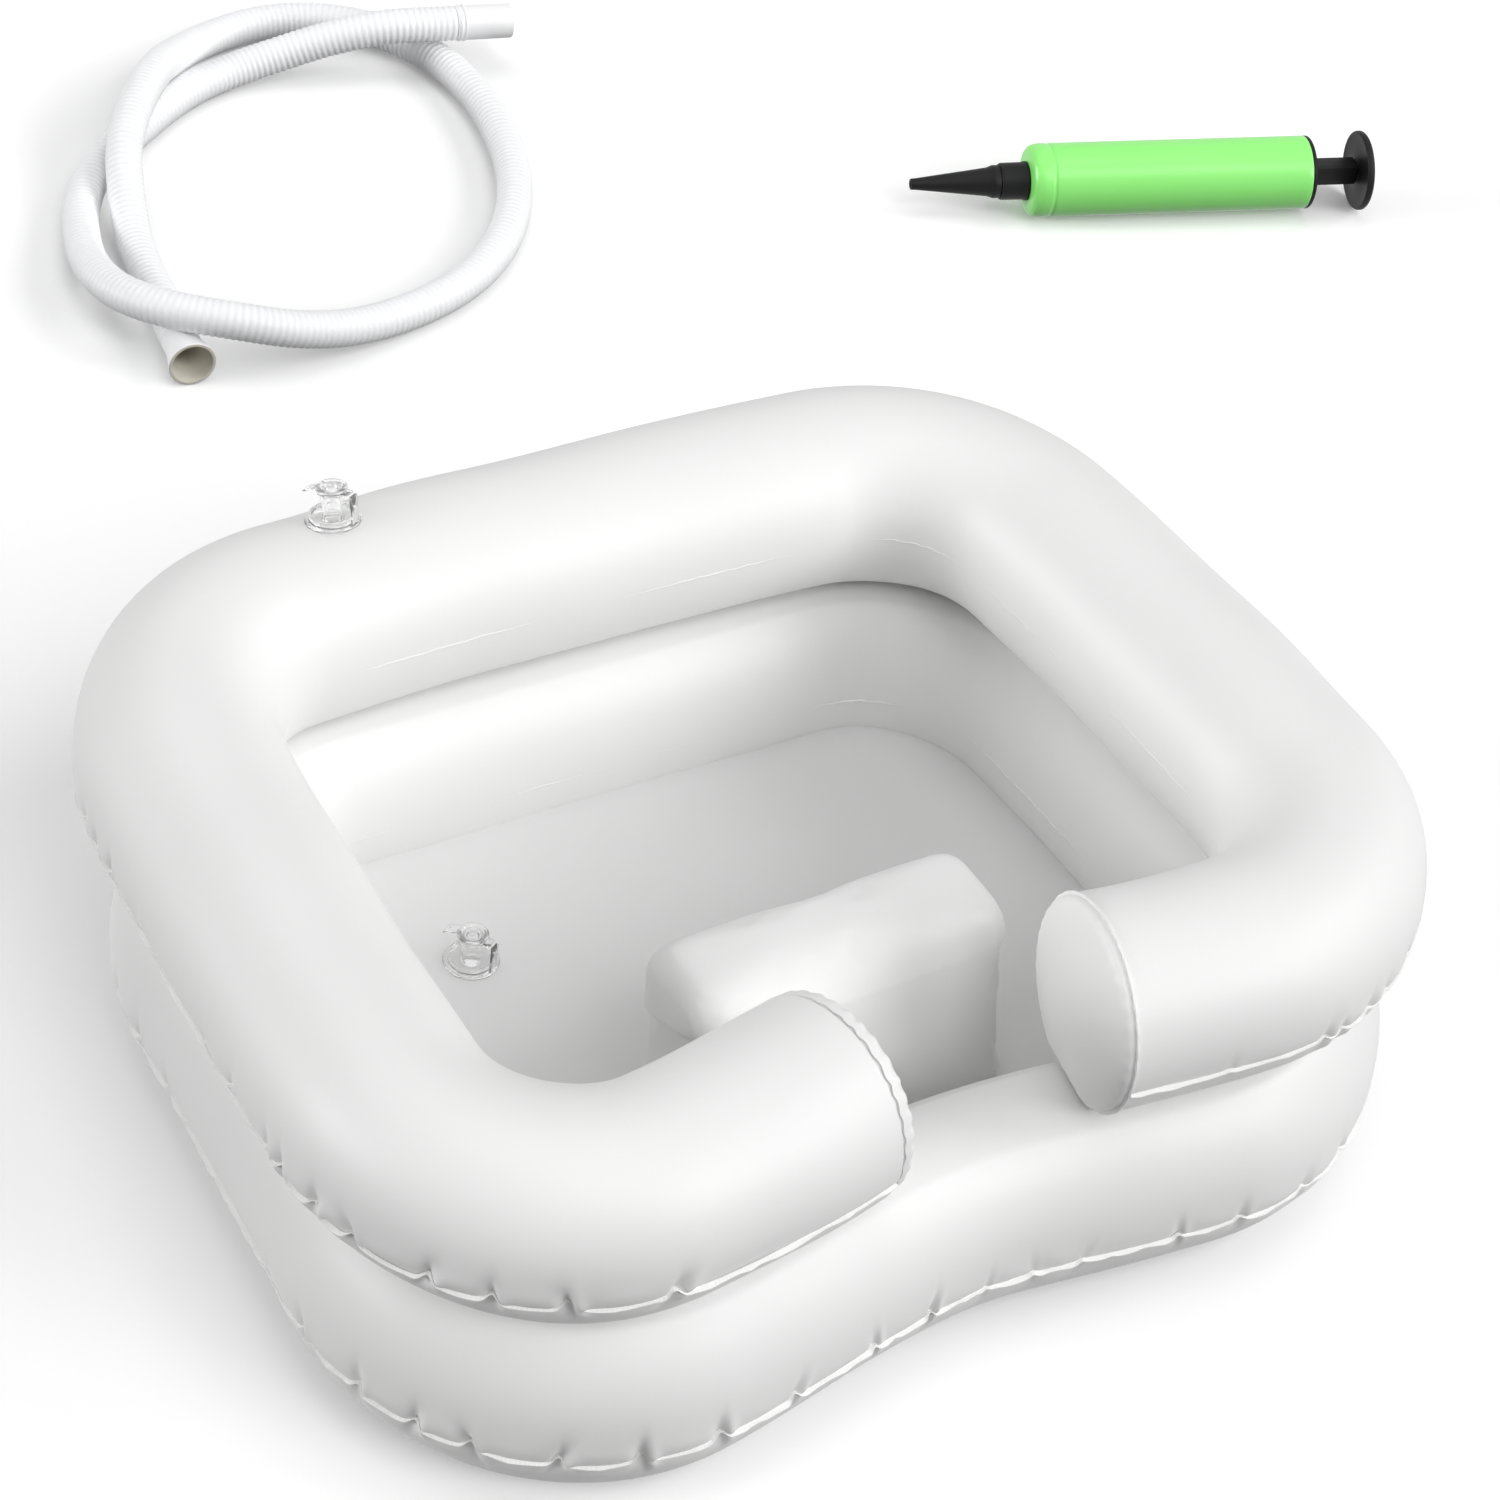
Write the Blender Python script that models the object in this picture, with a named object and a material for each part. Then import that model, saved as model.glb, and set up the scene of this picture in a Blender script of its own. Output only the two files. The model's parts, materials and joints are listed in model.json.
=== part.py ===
# Inflatable shampoo basin with its drain hose and its hand air pump.
# Metres, +Z up, the basin's neck side towards -Y.
# The origin lies on the surface, under the middle of the box round the basin and the pump.
import bpy
import bmesh
import numpy as np
from math import asin, atan2, cos, hypot, pi, radians, sin, sqrt
from mathutils import Matrix, Vector

# Driving dimensions
GAP = 0.0003                  # clearance between touching pieces

UPPER_HALF_X = 0.2741         # upper tube's centre line, half its length and half its depth
UPPER_HALF_Y = 0.2258
UPPER_CORNER = 0.1081
UPPER_BULGE = 0.0101          # how far the middle of a side stands out
UPPER_TUBE_X = 0.0559         # upper tube's half width and half height
UPPER_TUBE_Z = 0.0577
UPPER_LEVEL = 0.1755
UPPER_PINCH = 0.0293          # how far the front is drawn in at the neck
UPPER_STATIONS = 60

LOWER_HALF_X = 0.2690
LOWER_HALF_Y = 0.2202
LOWER_CORNER = 0.1172
LOWER_BULGE = 0.0015
LOWER_TUBE_X = 0.0493
LOWER_TUBE_Z = 0.0650
LOWER_LEVEL = 0.0637
LOWER_SHIFT_Y = -0.0179       # the lower tube stands out at the front
LOWER_PINCH = 0.0253
LOWER_STATIONS = 64

PINCH_WIDTH = 0.1148
TAPER_BACK = 0.140            # narrowing per metre towards the back
TAPER_RIGHT = 0.104           # flattening per metre towards the right
TURN_REACH = 0.10             # gives bends closer stations than straights
RING_CONTACT = 0.1225         # level at which the two tubes press flat on each other

NECK_LEFT = -0.074            # where the two ends of the upper tube stand
NECK_RIGHT = 0.085
ARM_END_DOME = 0.010
ARM_END_RIM = 0.003
ARM_END_FLANGE = 0.0015

SEAM_WIDTH = 0.0055
SEAM_THICKNESS = 0.0012
OUTER_SEAM_TURN = radians(-13)    # round the tube from its widest level, on both tubes
INNER_SEAM_TURN = radians(3)

FLOOR_TOP = 0.0450
FLOOR_THICKNESS = 0.0012

HEADREST_X = 0.0035
HEADREST_Y = -0.0985
HEADREST_HALF_X = 0.0985
HEADREST_HALF_Y = 0.0415
HEADREST_HEIGHT = 0.112
HEADREST_SQUARENESS = 6.0
HEADREST_LEAN = 0.0130        # how far the top stands back, so that the front slopes
HEADREST_CROWN = 0.035        # how much lower the two ends of the top are, as a share of the height

AIR_VALVE_X = -0.130          # where the air valve stands along the upper tube's back side
DRAIN_X = -0.1246
DRAIN_Y = 0.0644
VALVE_TAB = (-0.50, 0.86)     # the way the stoppers' pull tabs point
VALVE_BORE_R = 0.0042
VALVE_FLANGE_R = 0.0160
VALVE_FLANGE_T = 0.0012
VALVE_CUP_R = 0.0140
VALVE_CUP_WALL = 0.0014
VALVE_CUP_HEIGHT = 0.0048
VALVE_STEM_FOOT_R = 0.0052
VALVE_STEM_TOP_R = 0.0080
VALVE_STEM_HEIGHT = 0.0185
VALVE_PIVOT = 0.0126          # from the bore's axis to the strap's bending line
VALVE_LEG_T = 0.0014
VALVE_LEG_CLEAR = 0.00095
VALVE_STRAP_W = 0.0060
VALVE_STRAP_BELOW = 0.0004    # the strap's two faces, from the bending line
VALVE_STRAP_ABOVE = 0.0007
VALVE_CAP_R = 0.0090
VALVE_CAP_T = 0.0026
VALVE_CAP_CROWN = 0.86        # share of the cap's radius that stays flat on top
VALVE_TAB_REACH = 0.0190
VALVE_TAB_HOLE_R = 0.0012
VALVE_TAB_HOLE_INSET = 0.0035
PLUG_TOP_R = 0.0038
PLUG_TIP_R = 0.0030
PLUG_LENGTH = 0.0038
FLAP_R = 0.0039
FLAP_T = 0.0006
SPIGOT_R = 0.0119
SPIGOT_BORE_R = 0.0095
SPIGOT_LENGTH = 0.0240
SPIGOT_LEAD = 0.0030          # length and depth of the taper at its end
SPIGOT_LEAD_DEPTH = 0.0012

HOSE_R = 0.0128
HOSE_GROOVE_R = 0.0116
HOSE_BORE_R = 0.0096
HOSE_RIBS = 130
HOSE_BORE_POINTS = 72
HOSE_CLEAR = 0.0002           # under the hose, above the surface
HOSE_OVER = 0.0272            # rise of the hose where it passes over itself
PLAIN_CUFF_R = 0.0126
PLAIN_CUFF_LENGTH = 0.042
FLARED_CUFF_R = 0.0126
FLARED_CUFF_MOUTH_R = 0.0162
FLARED_CUFF_LENGTH = 0.030
CUFF_WALL = 0.0022
CUFF_BEAD = 0.0009            # height of the two rings on the plain cuff
CUFF_BEAD_STEP = 0.0010       # half the width of a ring
CUFF_BEADS = (0.0025, 0.0060)
CUFF_LIP = 0.0006
HOSE_FLARE_REACH = 0.12       # the last stretch that rises for the wider mouth
LINE_STEP = 0.001             # spacing of the points that a route is read at

PUMP_TIP = (0.5240, 0.6483)
PUMP_TURN = radians(-19.4)    # of the pump's axis, nozzle towards handle, from +X
PUMP_CLEAR = 0.0002
BARREL_R = 0.0263
BARREL_BORE_R = 0.0240
BARREL_START = 0.0857
BARREL_END = 0.3005
SHOULDER_END = 0.0920
SHOULDER = ((0.0205, 0.0), (0.0247, 0.0020))    # radius and distance behind the barrel's front
BARREL_OUTLET_R = 0.0050
NOZZLE_TIP_R = 0.0040
NOZZLE_FOOT_R = 0.0118
NOZZLE_END = 0.0648
COLLAR_R = 0.0134
END_CAP_END = 0.3036
END_CAP_PLUG = 0.0100
END_CAP_EDGE = 0.0010
NOZZLE_OUTLET_R = 0.0022
NOZZLE_FOOT = 0.0020          # length of its straight foot
NOZZLE_BORE_R = 0.0070
COLLAR_EDGE = (0.0008, 0.0010)
COLLAR_CHAMBER_R = 0.0100
COLLAR_WALL = 0.0030
OUTLET_FLAP_R = 0.0085
OUTLET_FLAP_T = 0.0010
OUTLET_FLAP_BACK = 0.0012     # from the collar's rear face
ROD_R = 0.0071
ROD_FIN_T = 0.0026
ROD_HOLE_R = 0.0077
PISTON_START = 0.1200
PISTON_LENGTH = 0.0120
PISTON_R = 0.0234
SEAL_R = 0.0238
SEAL_LIP = 0.0010
SEAL_GROOVE_R = 0.0190
SEAL_GROOVE = (0.0035, 0.0085)
HANDLE_START = 0.3330
HANDLE_END = 0.3395
HANDLE_R = 0.0287
HANDLE_EDGE = 0.0013

# The hose's route on the surface, from its plain end to its flared end:
# x, y, and how far it is lifted there, 1 where it passes over itself
HOSE_ROUTE = [
    (0.2790, 0.9400, 1.05), (0.2512, 0.9465, 1.10), (0.2150, 0.9590, 0.75), (0.1800, 0.9690, 0.30),
    (0.1440, 0.9715, 0.03), (0.0976, 0.9575, 0.00), (0.0533, 0.9300, 0.00), (0.0130, 0.8990, 0.00),
    (-0.0159, 0.8638, 0.00), (-0.0332, 0.8279, 0.08), (-0.0462, 0.7850, 0.30), (-0.0505, 0.7430, 0.68),
    (-0.0415, 0.7040, 1.00), (-0.0200, 0.6765, 1.13), (0.0080, 0.6595, 1.02), (0.0370, 0.6515, 0.70),
    (0.0655, 0.6505, 0.38), (0.0950, 0.6530, 0.14), (0.1240, 0.6580, 0.02), (0.1640, 0.6680, 0.00),
    (0.2090, 0.6920, 0.00), (0.2472, 0.7310, 0.00), (0.2735, 0.7780, 0.00), (0.2900, 0.8320, 0.00),
    (0.2965, 0.8860, 0.00), (0.2900, 0.9370, 0.00), (0.2710, 0.9790, 0.00), (0.2380, 1.0100, 0.00),
    (0.1930, 1.0240, 0.00), (0.1500, 1.0160, 0.05), (0.1150, 0.9940, 0.40), (0.0840, 0.9645, 0.90),
    (0.0570, 0.9320, 1.05), (0.0345, 0.9010, 1.05), (0.0165, 0.8700, 0.90), (0.0040, 0.8360, 0.45),
    (-0.0060, 0.8000, 0.05), (-0.0135, 0.7600, 0.00), (-0.0200, 0.7120, 0.00),
]

WHITE_FILM = (0.90, 0.90, 0.90)
CLEAR_VINYL = (0.86, 0.87, 0.87)
HOSE_WHITE = (0.88, 0.89, 0.90)
CUFF_CREAM = (0.86, 0.83, 0.74)
PUMP_GREEN = (0.33, 0.90, 0.26)
PUMP_BLACK = (0.03, 0.03, 0.03)
SEAL_BLACK = (0.05, 0.05, 0.05)


def surface_material(name, color, roughness):
    """A Principled material of one colour, one for each object."""
    mat = bpy.data.materials.new(name)
    mat.use_nodes = True
    shader = mat.node_tree.nodes["Principled BSDF"]
    shader.inputs["Base Color"].default_value = (*color, 1.0)
    shader.inputs["Roughness"].default_value = roughness
    shader.inputs["Metallic"].default_value = 0.0
    return mat


def add_object(name, mesh, parent, color, roughness):
    """Link a mesh as a named object under its parent, with a material of its own."""
    mesh.materials.clear()
    mesh.materials.append(surface_material(name, color, roughness))
    obj = bpy.data.objects.new(name, mesh)
    bpy.context.scene.collection.objects.link(obj)
    obj.parent = parent
    return obj


def add_empty(name, parent, location=(0, 0, 0)):
    """An empty that carries pieces."""
    obj = bpy.data.objects.new(name, None)
    bpy.context.scene.collection.objects.link(obj)
    obj.parent = parent
    obj.location = location
    return obj


def add_tool(name, mesh, parent):
    """A hidden shape for a Boolean to cut or join with."""
    obj = bpy.data.objects.new(name, mesh)
    bpy.context.scene.collection.objects.link(obj)
    obj.parent = parent
    obj.hide_render = True
    obj.display_type = "WIRE"
    return obj


def combine(obj, tool, operation):
    """Cut an object with another, or join the other to it."""
    boolean = obj.modifiers.new(operation.lower(), "BOOLEAN")
    boolean.operation = operation
    boolean.solver = "EXACT"
    boolean.object = tool


def finish_mesh(bm, name, sharp=radians(40)):
    """Turn the faces outwards, shade round surfaces smooth and return the mesh."""
    bmesh.ops.recalc_face_normals(bm, faces=bm.faces)
    mesh = bpy.data.meshes.new(name)
    bm.to_mesh(mesh)
    bm.free()
    mesh.shade_smooth()
    mesh.set_sharp_from_angle(angle=sharp)
    return mesh


def bridge_rows(bm, rows, loop=False):
    """Quads between neighbouring closed rows of vertices, with flat ends unless the rows make a loop."""
    count = len(rows) if loop else len(rows) - 1
    for i in range(count):
        row, other = rows[i], rows[(i + 1) % len(rows)]
        for j in range(len(row)):
            k = (j + 1) % len(row)
            bm.faces.new((row[j], row[k], other[k], other[j]))
    if not loop:
        bm.faces.new(rows[0])
        bm.faces.new(rows[-1])


def turned_mesh(name, profile, segments=24, at=(0, 0, 0)):
    """A closed profile of (radius, height) turned round a line along Z; radius 0 is on the line."""
    bm = bmesh.new()
    columns = []
    for r, z in profile:
        turns = [2 * pi * step / segments for step in range(segments if r > 0 else 1)]
        columns.append([bm.verts.new((at[0] + r * cos(t), at[1] + r * sin(t), at[2] + z)) for t in turns])
    for column, other in zip(columns, columns[1:] + columns[:1]):
        if len(column) == 1 and len(other) == 1:
            continue
        for step in range(segments):
            nearby = (step + 1) % segments
            corners = [column[step % len(column)], column[nearby % len(column)],
                       other[nearby % len(other)], other[step % len(other)]]
            bm.faces.new(list(dict.fromkeys(corners)))
    return finish_mesh(bm, name)


def box_mesh(name, low, high):
    """A box between two opposite corners."""
    bm = bmesh.new()
    bmesh.ops.create_cube(bm, size=1)
    size = [b - a for a, b in zip(low, high)]
    middle = [(a + b) / 2 for a, b in zip(low, high)]
    bmesh.ops.scale(bm, vec=size, verts=bm.verts)
    bmesh.ops.translate(bm, vec=middle, verts=bm.verts)
    return finish_mesh(bm, name)


def ring_outline(half_x, half_y, corner, bulge, samples=80):
    """A closed outline: a long bowed arc on each side and a corner arc tangent to both."""
    side_r = half_y ** 2 / (2 * bulge)
    end_r = half_x ** 2 / (2 * bulge)
    side_c = np.array([half_x - side_r, 0.0])
    end_c = np.array([0.0, half_y - end_r])
    apart = np.linalg.norm(end_c - side_c)
    unit = (end_c - side_c) / apart
    square = np.array([-unit[1], unit[0]])
    along = (apart ** 2 + (side_r - corner) ** 2 - (end_r - corner) ** 2) / (2 * apart)
    across = sqrt((side_r - corner) ** 2 - along ** 2)
    foot = side_c + unit * along
    corner_c = max(foot + square * across, foot - square * across, key=np.sum)
    turn_a = atan2(corner_c[1] - side_c[1], corner_c[0] - side_c[0])
    turn_b = atan2(corner_c[1] - end_c[1], corner_c[0] - end_c[0])
    quarter = [np.array([half_x, 0.0])]
    for centre, radius, start, stop in ((side_c, side_r, 0, turn_a), (corner_c, corner, turn_a, turn_b),
                                        (end_c, end_r, turn_b, pi / 2)):
        for turn in np.linspace(start, stop, samples)[1:]:
            quarter.append(centre + radius * np.array([cos(turn), sin(turn)]))
    quarter = np.array(quarter)
    back = np.vstack([quarter, quarter[::-1][1:] * [-1, 1]])
    return np.vstack([back, back[::-1][1:-1] * [1, -1]])


def shaped(points, pinch, shift_y):
    """Draw the front in at the neck, then give the outline its slight tapers."""
    x, y = points[:, 0], points[:, 1]
    front = np.where(y < 0, 1.0, 0.0)
    y = y + pinch * np.exp(-(x / PINCH_WIDTH) ** 2) * front + shift_y
    return np.stack([x * (1 - TAPER_BACK * y), y * (1 - TAPER_RIGHT * x)], axis=1)


def lengths_along(points):
    """How far along a path each of its points is, bends counting for more."""
    steps = np.diff(points, axis=0)
    heading = np.unwrap(np.arctan2(steps[:, 1], steps[:, 0]))
    turning = np.abs(np.diff(heading, prepend=heading[0]))
    return np.concatenate([[0], np.cumsum(np.linalg.norm(steps, axis=1) + TURN_REACH * turning)])


def placed_along(points, count, closed):
    """Stations along a path, closer together in bends."""
    path = np.vstack([points, points[:1]]) if closed else points
    along = lengths_along(path)
    where = np.linspace(0, along[-1], count, endpoint=not closed)
    return np.stack([np.interp(where, along, path[:, k]) for k in (0, 1)], axis=1)


def outward(points, closed):
    """Unit normals of a counter-clockwise path, pointing away from the bowl."""
    if closed:
        tangent = np.roll(points, -1, 0) - np.roll(points, 1, 0)
    else:
        tangent = np.gradient(points, axis=0)
    normal = np.stack([tangent[:, 1], -tangent[:, 0]], axis=1)
    return normal / np.linalg.norm(normal, axis=1)[:, None]


def upper_path():
    """The upper tube's centre line, from the right arm's end round the back to the left arm's."""
    loop = ring_outline(UPPER_HALF_X, UPPER_HALF_Y, UPPER_CORNER, UPPER_BULGE)
    loop = shaped(loop, UPPER_PINCH, 0.0)
    front = np.flatnonzero(loop[:, 1] < -UPPER_HALF_Y / 2)
    right = front[np.argmin(np.abs(loop[front, 0] - NECK_RIGHT))]
    left = front[np.argmin(np.abs(loop[front, 0] - NECK_LEFT))]
    return placed_along(np.vstack([loop[right:], loop[:left + 1]]), UPPER_STATIONS, closed=False)


def lower_path():
    """The lower tube's centre line, all round."""
    loop = ring_outline(LOWER_HALF_X, LOWER_HALF_Y, LOWER_CORNER, LOWER_BULGE)
    return placed_along(shaped(loop, LOWER_PINCH, LOWER_SHIFT_Y), LOWER_STATIONS, closed=True)


def spread(*spans):
    """Angles at even steps over several spans in a row, each (start, stop, steps)."""
    turns = [spans[0][0]]
    for start, stop, steps in spans:
        turns += [start + (stop - start) * (k + 1) / steps for k in range(steps)]
    return turns


def upper_section():
    """The upper tube's outline, (outward, up) from its centre line, flat where it meets the lower tube."""
    foot = asin((RING_CONTACT + GAP / 2 - UPPER_LEVEL) / UPPER_TUBE_Z)
    inner = pi - INNER_SEAM_TURN
    turns = spread((foot, OUTER_SEAM_TURN, 3), (OUTER_SEAM_TURN, pi / 2, 5), (pi / 2, inner, 4),
                   (inner, pi - foot, 3))
    return [(UPPER_TUBE_X * cos(t), UPPER_TUBE_Z * sin(t)) for t in turns]


def lower_section():
    """The lower tube's outline, flat on the surface and flat under the upper tube."""
    foot = asin(-LOWER_LEVEL / LOWER_TUBE_Z)
    head = asin((RING_CONTACT - GAP / 2 - LOWER_LEVEL) / LOWER_TUBE_Z)
    inner = pi - INNER_SEAM_TURN
    turns = spread((foot, OUTER_SEAM_TURN, 3), (OUTER_SEAM_TURN, head, 4))
    turns += spread((pi - head, inner, 4), (inner, pi - foot, 3))
    return [(LOWER_TUBE_X * cos(t), LOWER_TUBE_Z * sin(t)) for t in turns]


def seam_section(half_x, half_z, turn, side):
    """A thin strip that stands out of a tube along its welded edge."""
    start = half_x * cos(turn) + GAP
    level = half_z * sin(turn)
    half = SEAM_THICKNESS / 2
    corners = [(start, -half), (start + SEAM_WIDTH, -half), (start + SEAM_WIDTH, half), (start, half)]
    return [(side * u, level + v) for u, v in corners]


def sweep_points(path, normals, section, level):
    """The points of an outline carried along a path."""
    return [[Vector((x + nx * u, y + ny * u, level + v)) for u, v in section]
            for (x, y), (nx, ny) in zip(path, normals)]


def swept_mesh(name, rows, closed):
    """A tube through rows of points."""
    bm = bmesh.new()
    bridge_rows(bm, [[bm.verts.new(p) for p in row] for row in rows], loop=closed)
    return finish_mesh(bm, name)


def add_ring(root, name, path, section, level, size, closed):
    """An air tube and the two welded edges that run along it; returns the tube's rows of points."""
    normals = outward(path, closed)
    rows = sweep_points(path, normals, section, level)
    add_object(f"{name}_ring", swept_mesh(name, rows, closed), root, WHITE_FILM, 0.35)
    for place, turn, side in (("outer", OUTER_SEAM_TURN, 1), ("inner", INNER_SEAM_TURN, -1)):
        strip = seam_section(*size, turn, side)
        seam = f"{name}_{place}_seam"
        mesh = swept_mesh(seam, sweep_points(path, normals, strip, level), closed)
        add_object(seam, mesh, root, WHITE_FILM, 0.30)
    return rows


def add_arm_end(root, name, centre, normal, away):
    """A domed panel with a flat welded rim that closes one end of the upper tube."""
    section = upper_section()
    lowest = min(v for _, v in section)
    face = GAP + ARM_END_FLANGE
    layers = [(1.0, ARM_END_RIM, GAP), (1.0, ARM_END_RIM, face), (0.97, 0.0, face)]
    layers += [(share, 0.0, face + ARM_END_DOME * sqrt(1 - share ** 2)) for share in (0.90, 0.72, 0.42)]
    rows = []
    for share, rim, out in layers:
        row = []
        for u, v in section:
            grown = share + rim / hypot(u, v)
            flat = centre + normal * u * grown + away * out
            row.append(Vector((flat[0], flat[1], UPPER_LEVEL + max(v * grown, lowest))))
        rows.append(row)
    add_object(name, swept_mesh(name, rows, closed=False), root, WHITE_FILM, 0.35)


def add_arm_ends(root, path):
    """Both end panels, facing each other across the neck gap."""
    normals = outward(path, closed=False)
    for name, end, inner in (("arm_end_right", 0, 1), ("arm_end_left", -1, -2)):
        away = path[end] - path[inner]
        away = away - normals[end] * (away @ normals[end])
        add_arm_end(root, name, path[end], normals[end], away / np.linalg.norm(away))


def add_floor(root, path):
    """The membrane that spans the lower tube, with a hole under the drain valve."""
    normals = outward(path, closed=True)
    inset = LOWER_TUBE_X * sqrt(1 - ((LOWER_LEVEL - FLOOR_TOP) / LOWER_TUBE_Z) ** 2) + GAP
    rim = path - normals * inset
    rows = [[Vector((x, y, level)) for x, y in rim] for level in (FLOOR_TOP - FLOOR_THICKNESS, FLOOR_TOP)]
    floor = add_object("basin_floor", swept_mesh("basin_floor", rows, closed=False), root, WHITE_FILM, 0.40)
    depth = 5 * FLOOR_THICKNESS
    profile = [(0, -depth), (VALVE_BORE_R, -depth), (VALVE_BORE_R, depth), (0, depth)]
    hole = turned_mesh("drain_hole", profile, 16, (DRAIN_X, DRAIN_Y, FLOOR_TOP))
    combine(floor, add_tool("drain_hole", hole, root), "DIFFERENCE")


def rounded(turn, squareness):
    """One axis of a rounded rectangle's outline."""
    return abs(turn) ** (2 / squareness) * (1 if turn >= 0 else -1)


def add_headrest(root):
    """The neck pillow: flat below, sides drawn in near the floor and at the waist, crowned above."""
    # height, width and depth of each layer, as shares of the whole
    layers = [(0.0, 0.965, 0.955), (0.05, 0.985, 0.985), (0.18, 0.995, 0.98), (0.36, 0.985, 0.935),
              (0.54, 0.995, 0.885), (0.70, 1.0, 0.83), (0.83, 0.985, 0.765), (0.92, 0.94, 0.68),
              (0.975, 0.86, 0.54), (1.0, 0.72, 0.34)]
    around = 44
    rows = []
    for height, width, depth in layers:
        row = []
        for step in range(around):
            turn = 2 * pi * step / around
            x = HEADREST_HALF_X * width * rounded(cos(turn), HEADREST_SQUARENESS)
            y = HEADREST_HALF_Y * depth * rounded(sin(turn), HEADREST_SQUARENESS)
            crown = 1 - HEADREST_CROWN * (x / HEADREST_HALF_X) ** 2
            row.append(Vector((x, y + HEADREST_LEAN * height, HEADREST_HEIGHT * height * crown)))
        rows.append(row)
    pillow = add_object("headrest", swept_mesh("headrest", rows, closed=False), root, WHITE_FILM, 0.35)
    pillow.location = (HEADREST_X, HEADREST_Y, FLOOR_TOP + GAP)


def add_valve(parent, name, location, up):
    """A clear valve: flange, cup and stem, a stopper on its hinge line; returns the valve's empty."""
    tab = Vector((*VALVE_TAB, 0))
    across = up.cross(tab).normalized()
    along = across.cross(up)
    seat = add_empty(f"{name}_seat", parent, location)
    seat.rotation_euler = Matrix((along, across, up)).transposed().to_euler()
    cup_inside = VALVE_CUP_R - VALVE_CUP_WALL
    profile = [
        (VALVE_BORE_R, 0), (VALVE_FLANGE_R, 0), (VALVE_FLANGE_R, VALVE_FLANGE_T),
        (VALVE_CUP_R, VALVE_FLANGE_T), (VALVE_CUP_R, VALVE_CUP_HEIGHT), (cup_inside, VALVE_CUP_HEIGHT),
        (cup_inside, VALVE_FLANGE_T), (VALVE_STEM_FOOT_R, VALVE_FLANGE_T),
        (VALVE_STEM_TOP_R, VALVE_STEM_HEIGHT), (VALVE_BORE_R, VALVE_STEM_HEIGHT),
    ]
    body = add_object(f"{name}_body", turned_mesh(name, profile), seat, CLEAR_VINYL, 0.15)
    hinge_level = VALVE_STEM_HEIGHT + 2 * GAP + VALVE_CAP_T / 4
    leg_face = -VALVE_PIVOT - VALVE_LEG_CLEAR
    leg_low = (leg_face - VALVE_LEG_T, -VALVE_STRAP_W / 2, VALVE_FLANGE_T / 2)
    leg_high = (leg_face, VALVE_STRAP_W / 2, hinge_level - GAP)
    leg = add_tool(f"{name}_leg", box_mesh(f"{name}_leg", leg_low, leg_high), seat)
    combine(body, leg, "UNION")
    hinge = add_empty(f"{name}_hinge", seat, (-VALVE_PIVOT, 0, hinge_level))
    add_stopper(hinge, f"{name}_stopper")
    return seat


def add_stopper(hinge, name):
    """Cap with its plug, its strap to the hinge line and its pull tab with a hole."""
    under = -VALVE_CAP_T / 4
    top = under + VALVE_CAP_T
    profile = [
        (0, under - PLUG_LENGTH), (PLUG_TIP_R, under - PLUG_LENGTH), (PLUG_TOP_R, under),
        (VALVE_CAP_R, under), (VALVE_CAP_R, top - VALVE_CAP_T / 4), (VALVE_CAP_R * VALVE_CAP_CROWN, top),
        (0, top),
    ]
    stopper = add_object(name, turned_mesh(name, profile, 20, (VALVE_PIVOT, 0, 0)), hinge, CLEAR_VINYL, 0.15)
    strap_low = (GAP, -VALVE_STRAP_W / 2, -VALVE_STRAP_BELOW)
    strap_high = (VALVE_PIVOT + VALVE_TAB_REACH, VALVE_STRAP_W / 2, VALVE_STRAP_ABOVE)
    strap = add_tool(f"{name}_strap", box_mesh(f"{name}_strap", strap_low, strap_high), hinge)
    combine(stopper, strap, "UNION")
    hole_at = (VALVE_PIVOT + VALVE_TAB_REACH - VALVE_TAB_HOLE_INSET, 0, 0)
    depth = VALVE_CAP_T
    hole_profile = [(0, -depth), (VALVE_TAB_HOLE_R, -depth), (VALVE_TAB_HOLE_R, depth), (0, depth)]
    hole = turned_mesh(f"{name}_hole", hole_profile, 12, hole_at)
    combine(stopper, add_tool(f"{name}_hole", hole, hinge), "DIFFERENCE")


def add_air_valve(root, rows):
    """The valve on a facet near the top of the upper tube's back side, with its non-return flap."""
    back = [i for i, row in enumerate(rows) if row[0].y > 0]
    station = min(back, key=lambda i: abs(rows[i][0].x - AIR_VALVE_X))
    crown = max(range(len(rows[0])), key=lambda k: rows[0][k].z)
    corners = [rows[i][k] for i in (station, station + 1) for k in (crown - 1, crown)]
    middle = sum(corners, Vector((0, 0, 0))) / 4
    up = (corners[1] - corners[0]).cross(corners[2] - corners[0]).normalized()
    up = up if up.z > 0 else -up
    seat = add_valve(root, "air_valve", middle + up * GAP, up)
    profile = [(0, GAP), (FLAP_R, GAP), (FLAP_R, GAP + FLAP_T), (0, GAP + FLAP_T)]
    add_object("air_valve_flap", turned_mesh("air_valve_flap", profile, 16), seat, CLEAR_VINYL, 0.2)


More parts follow.
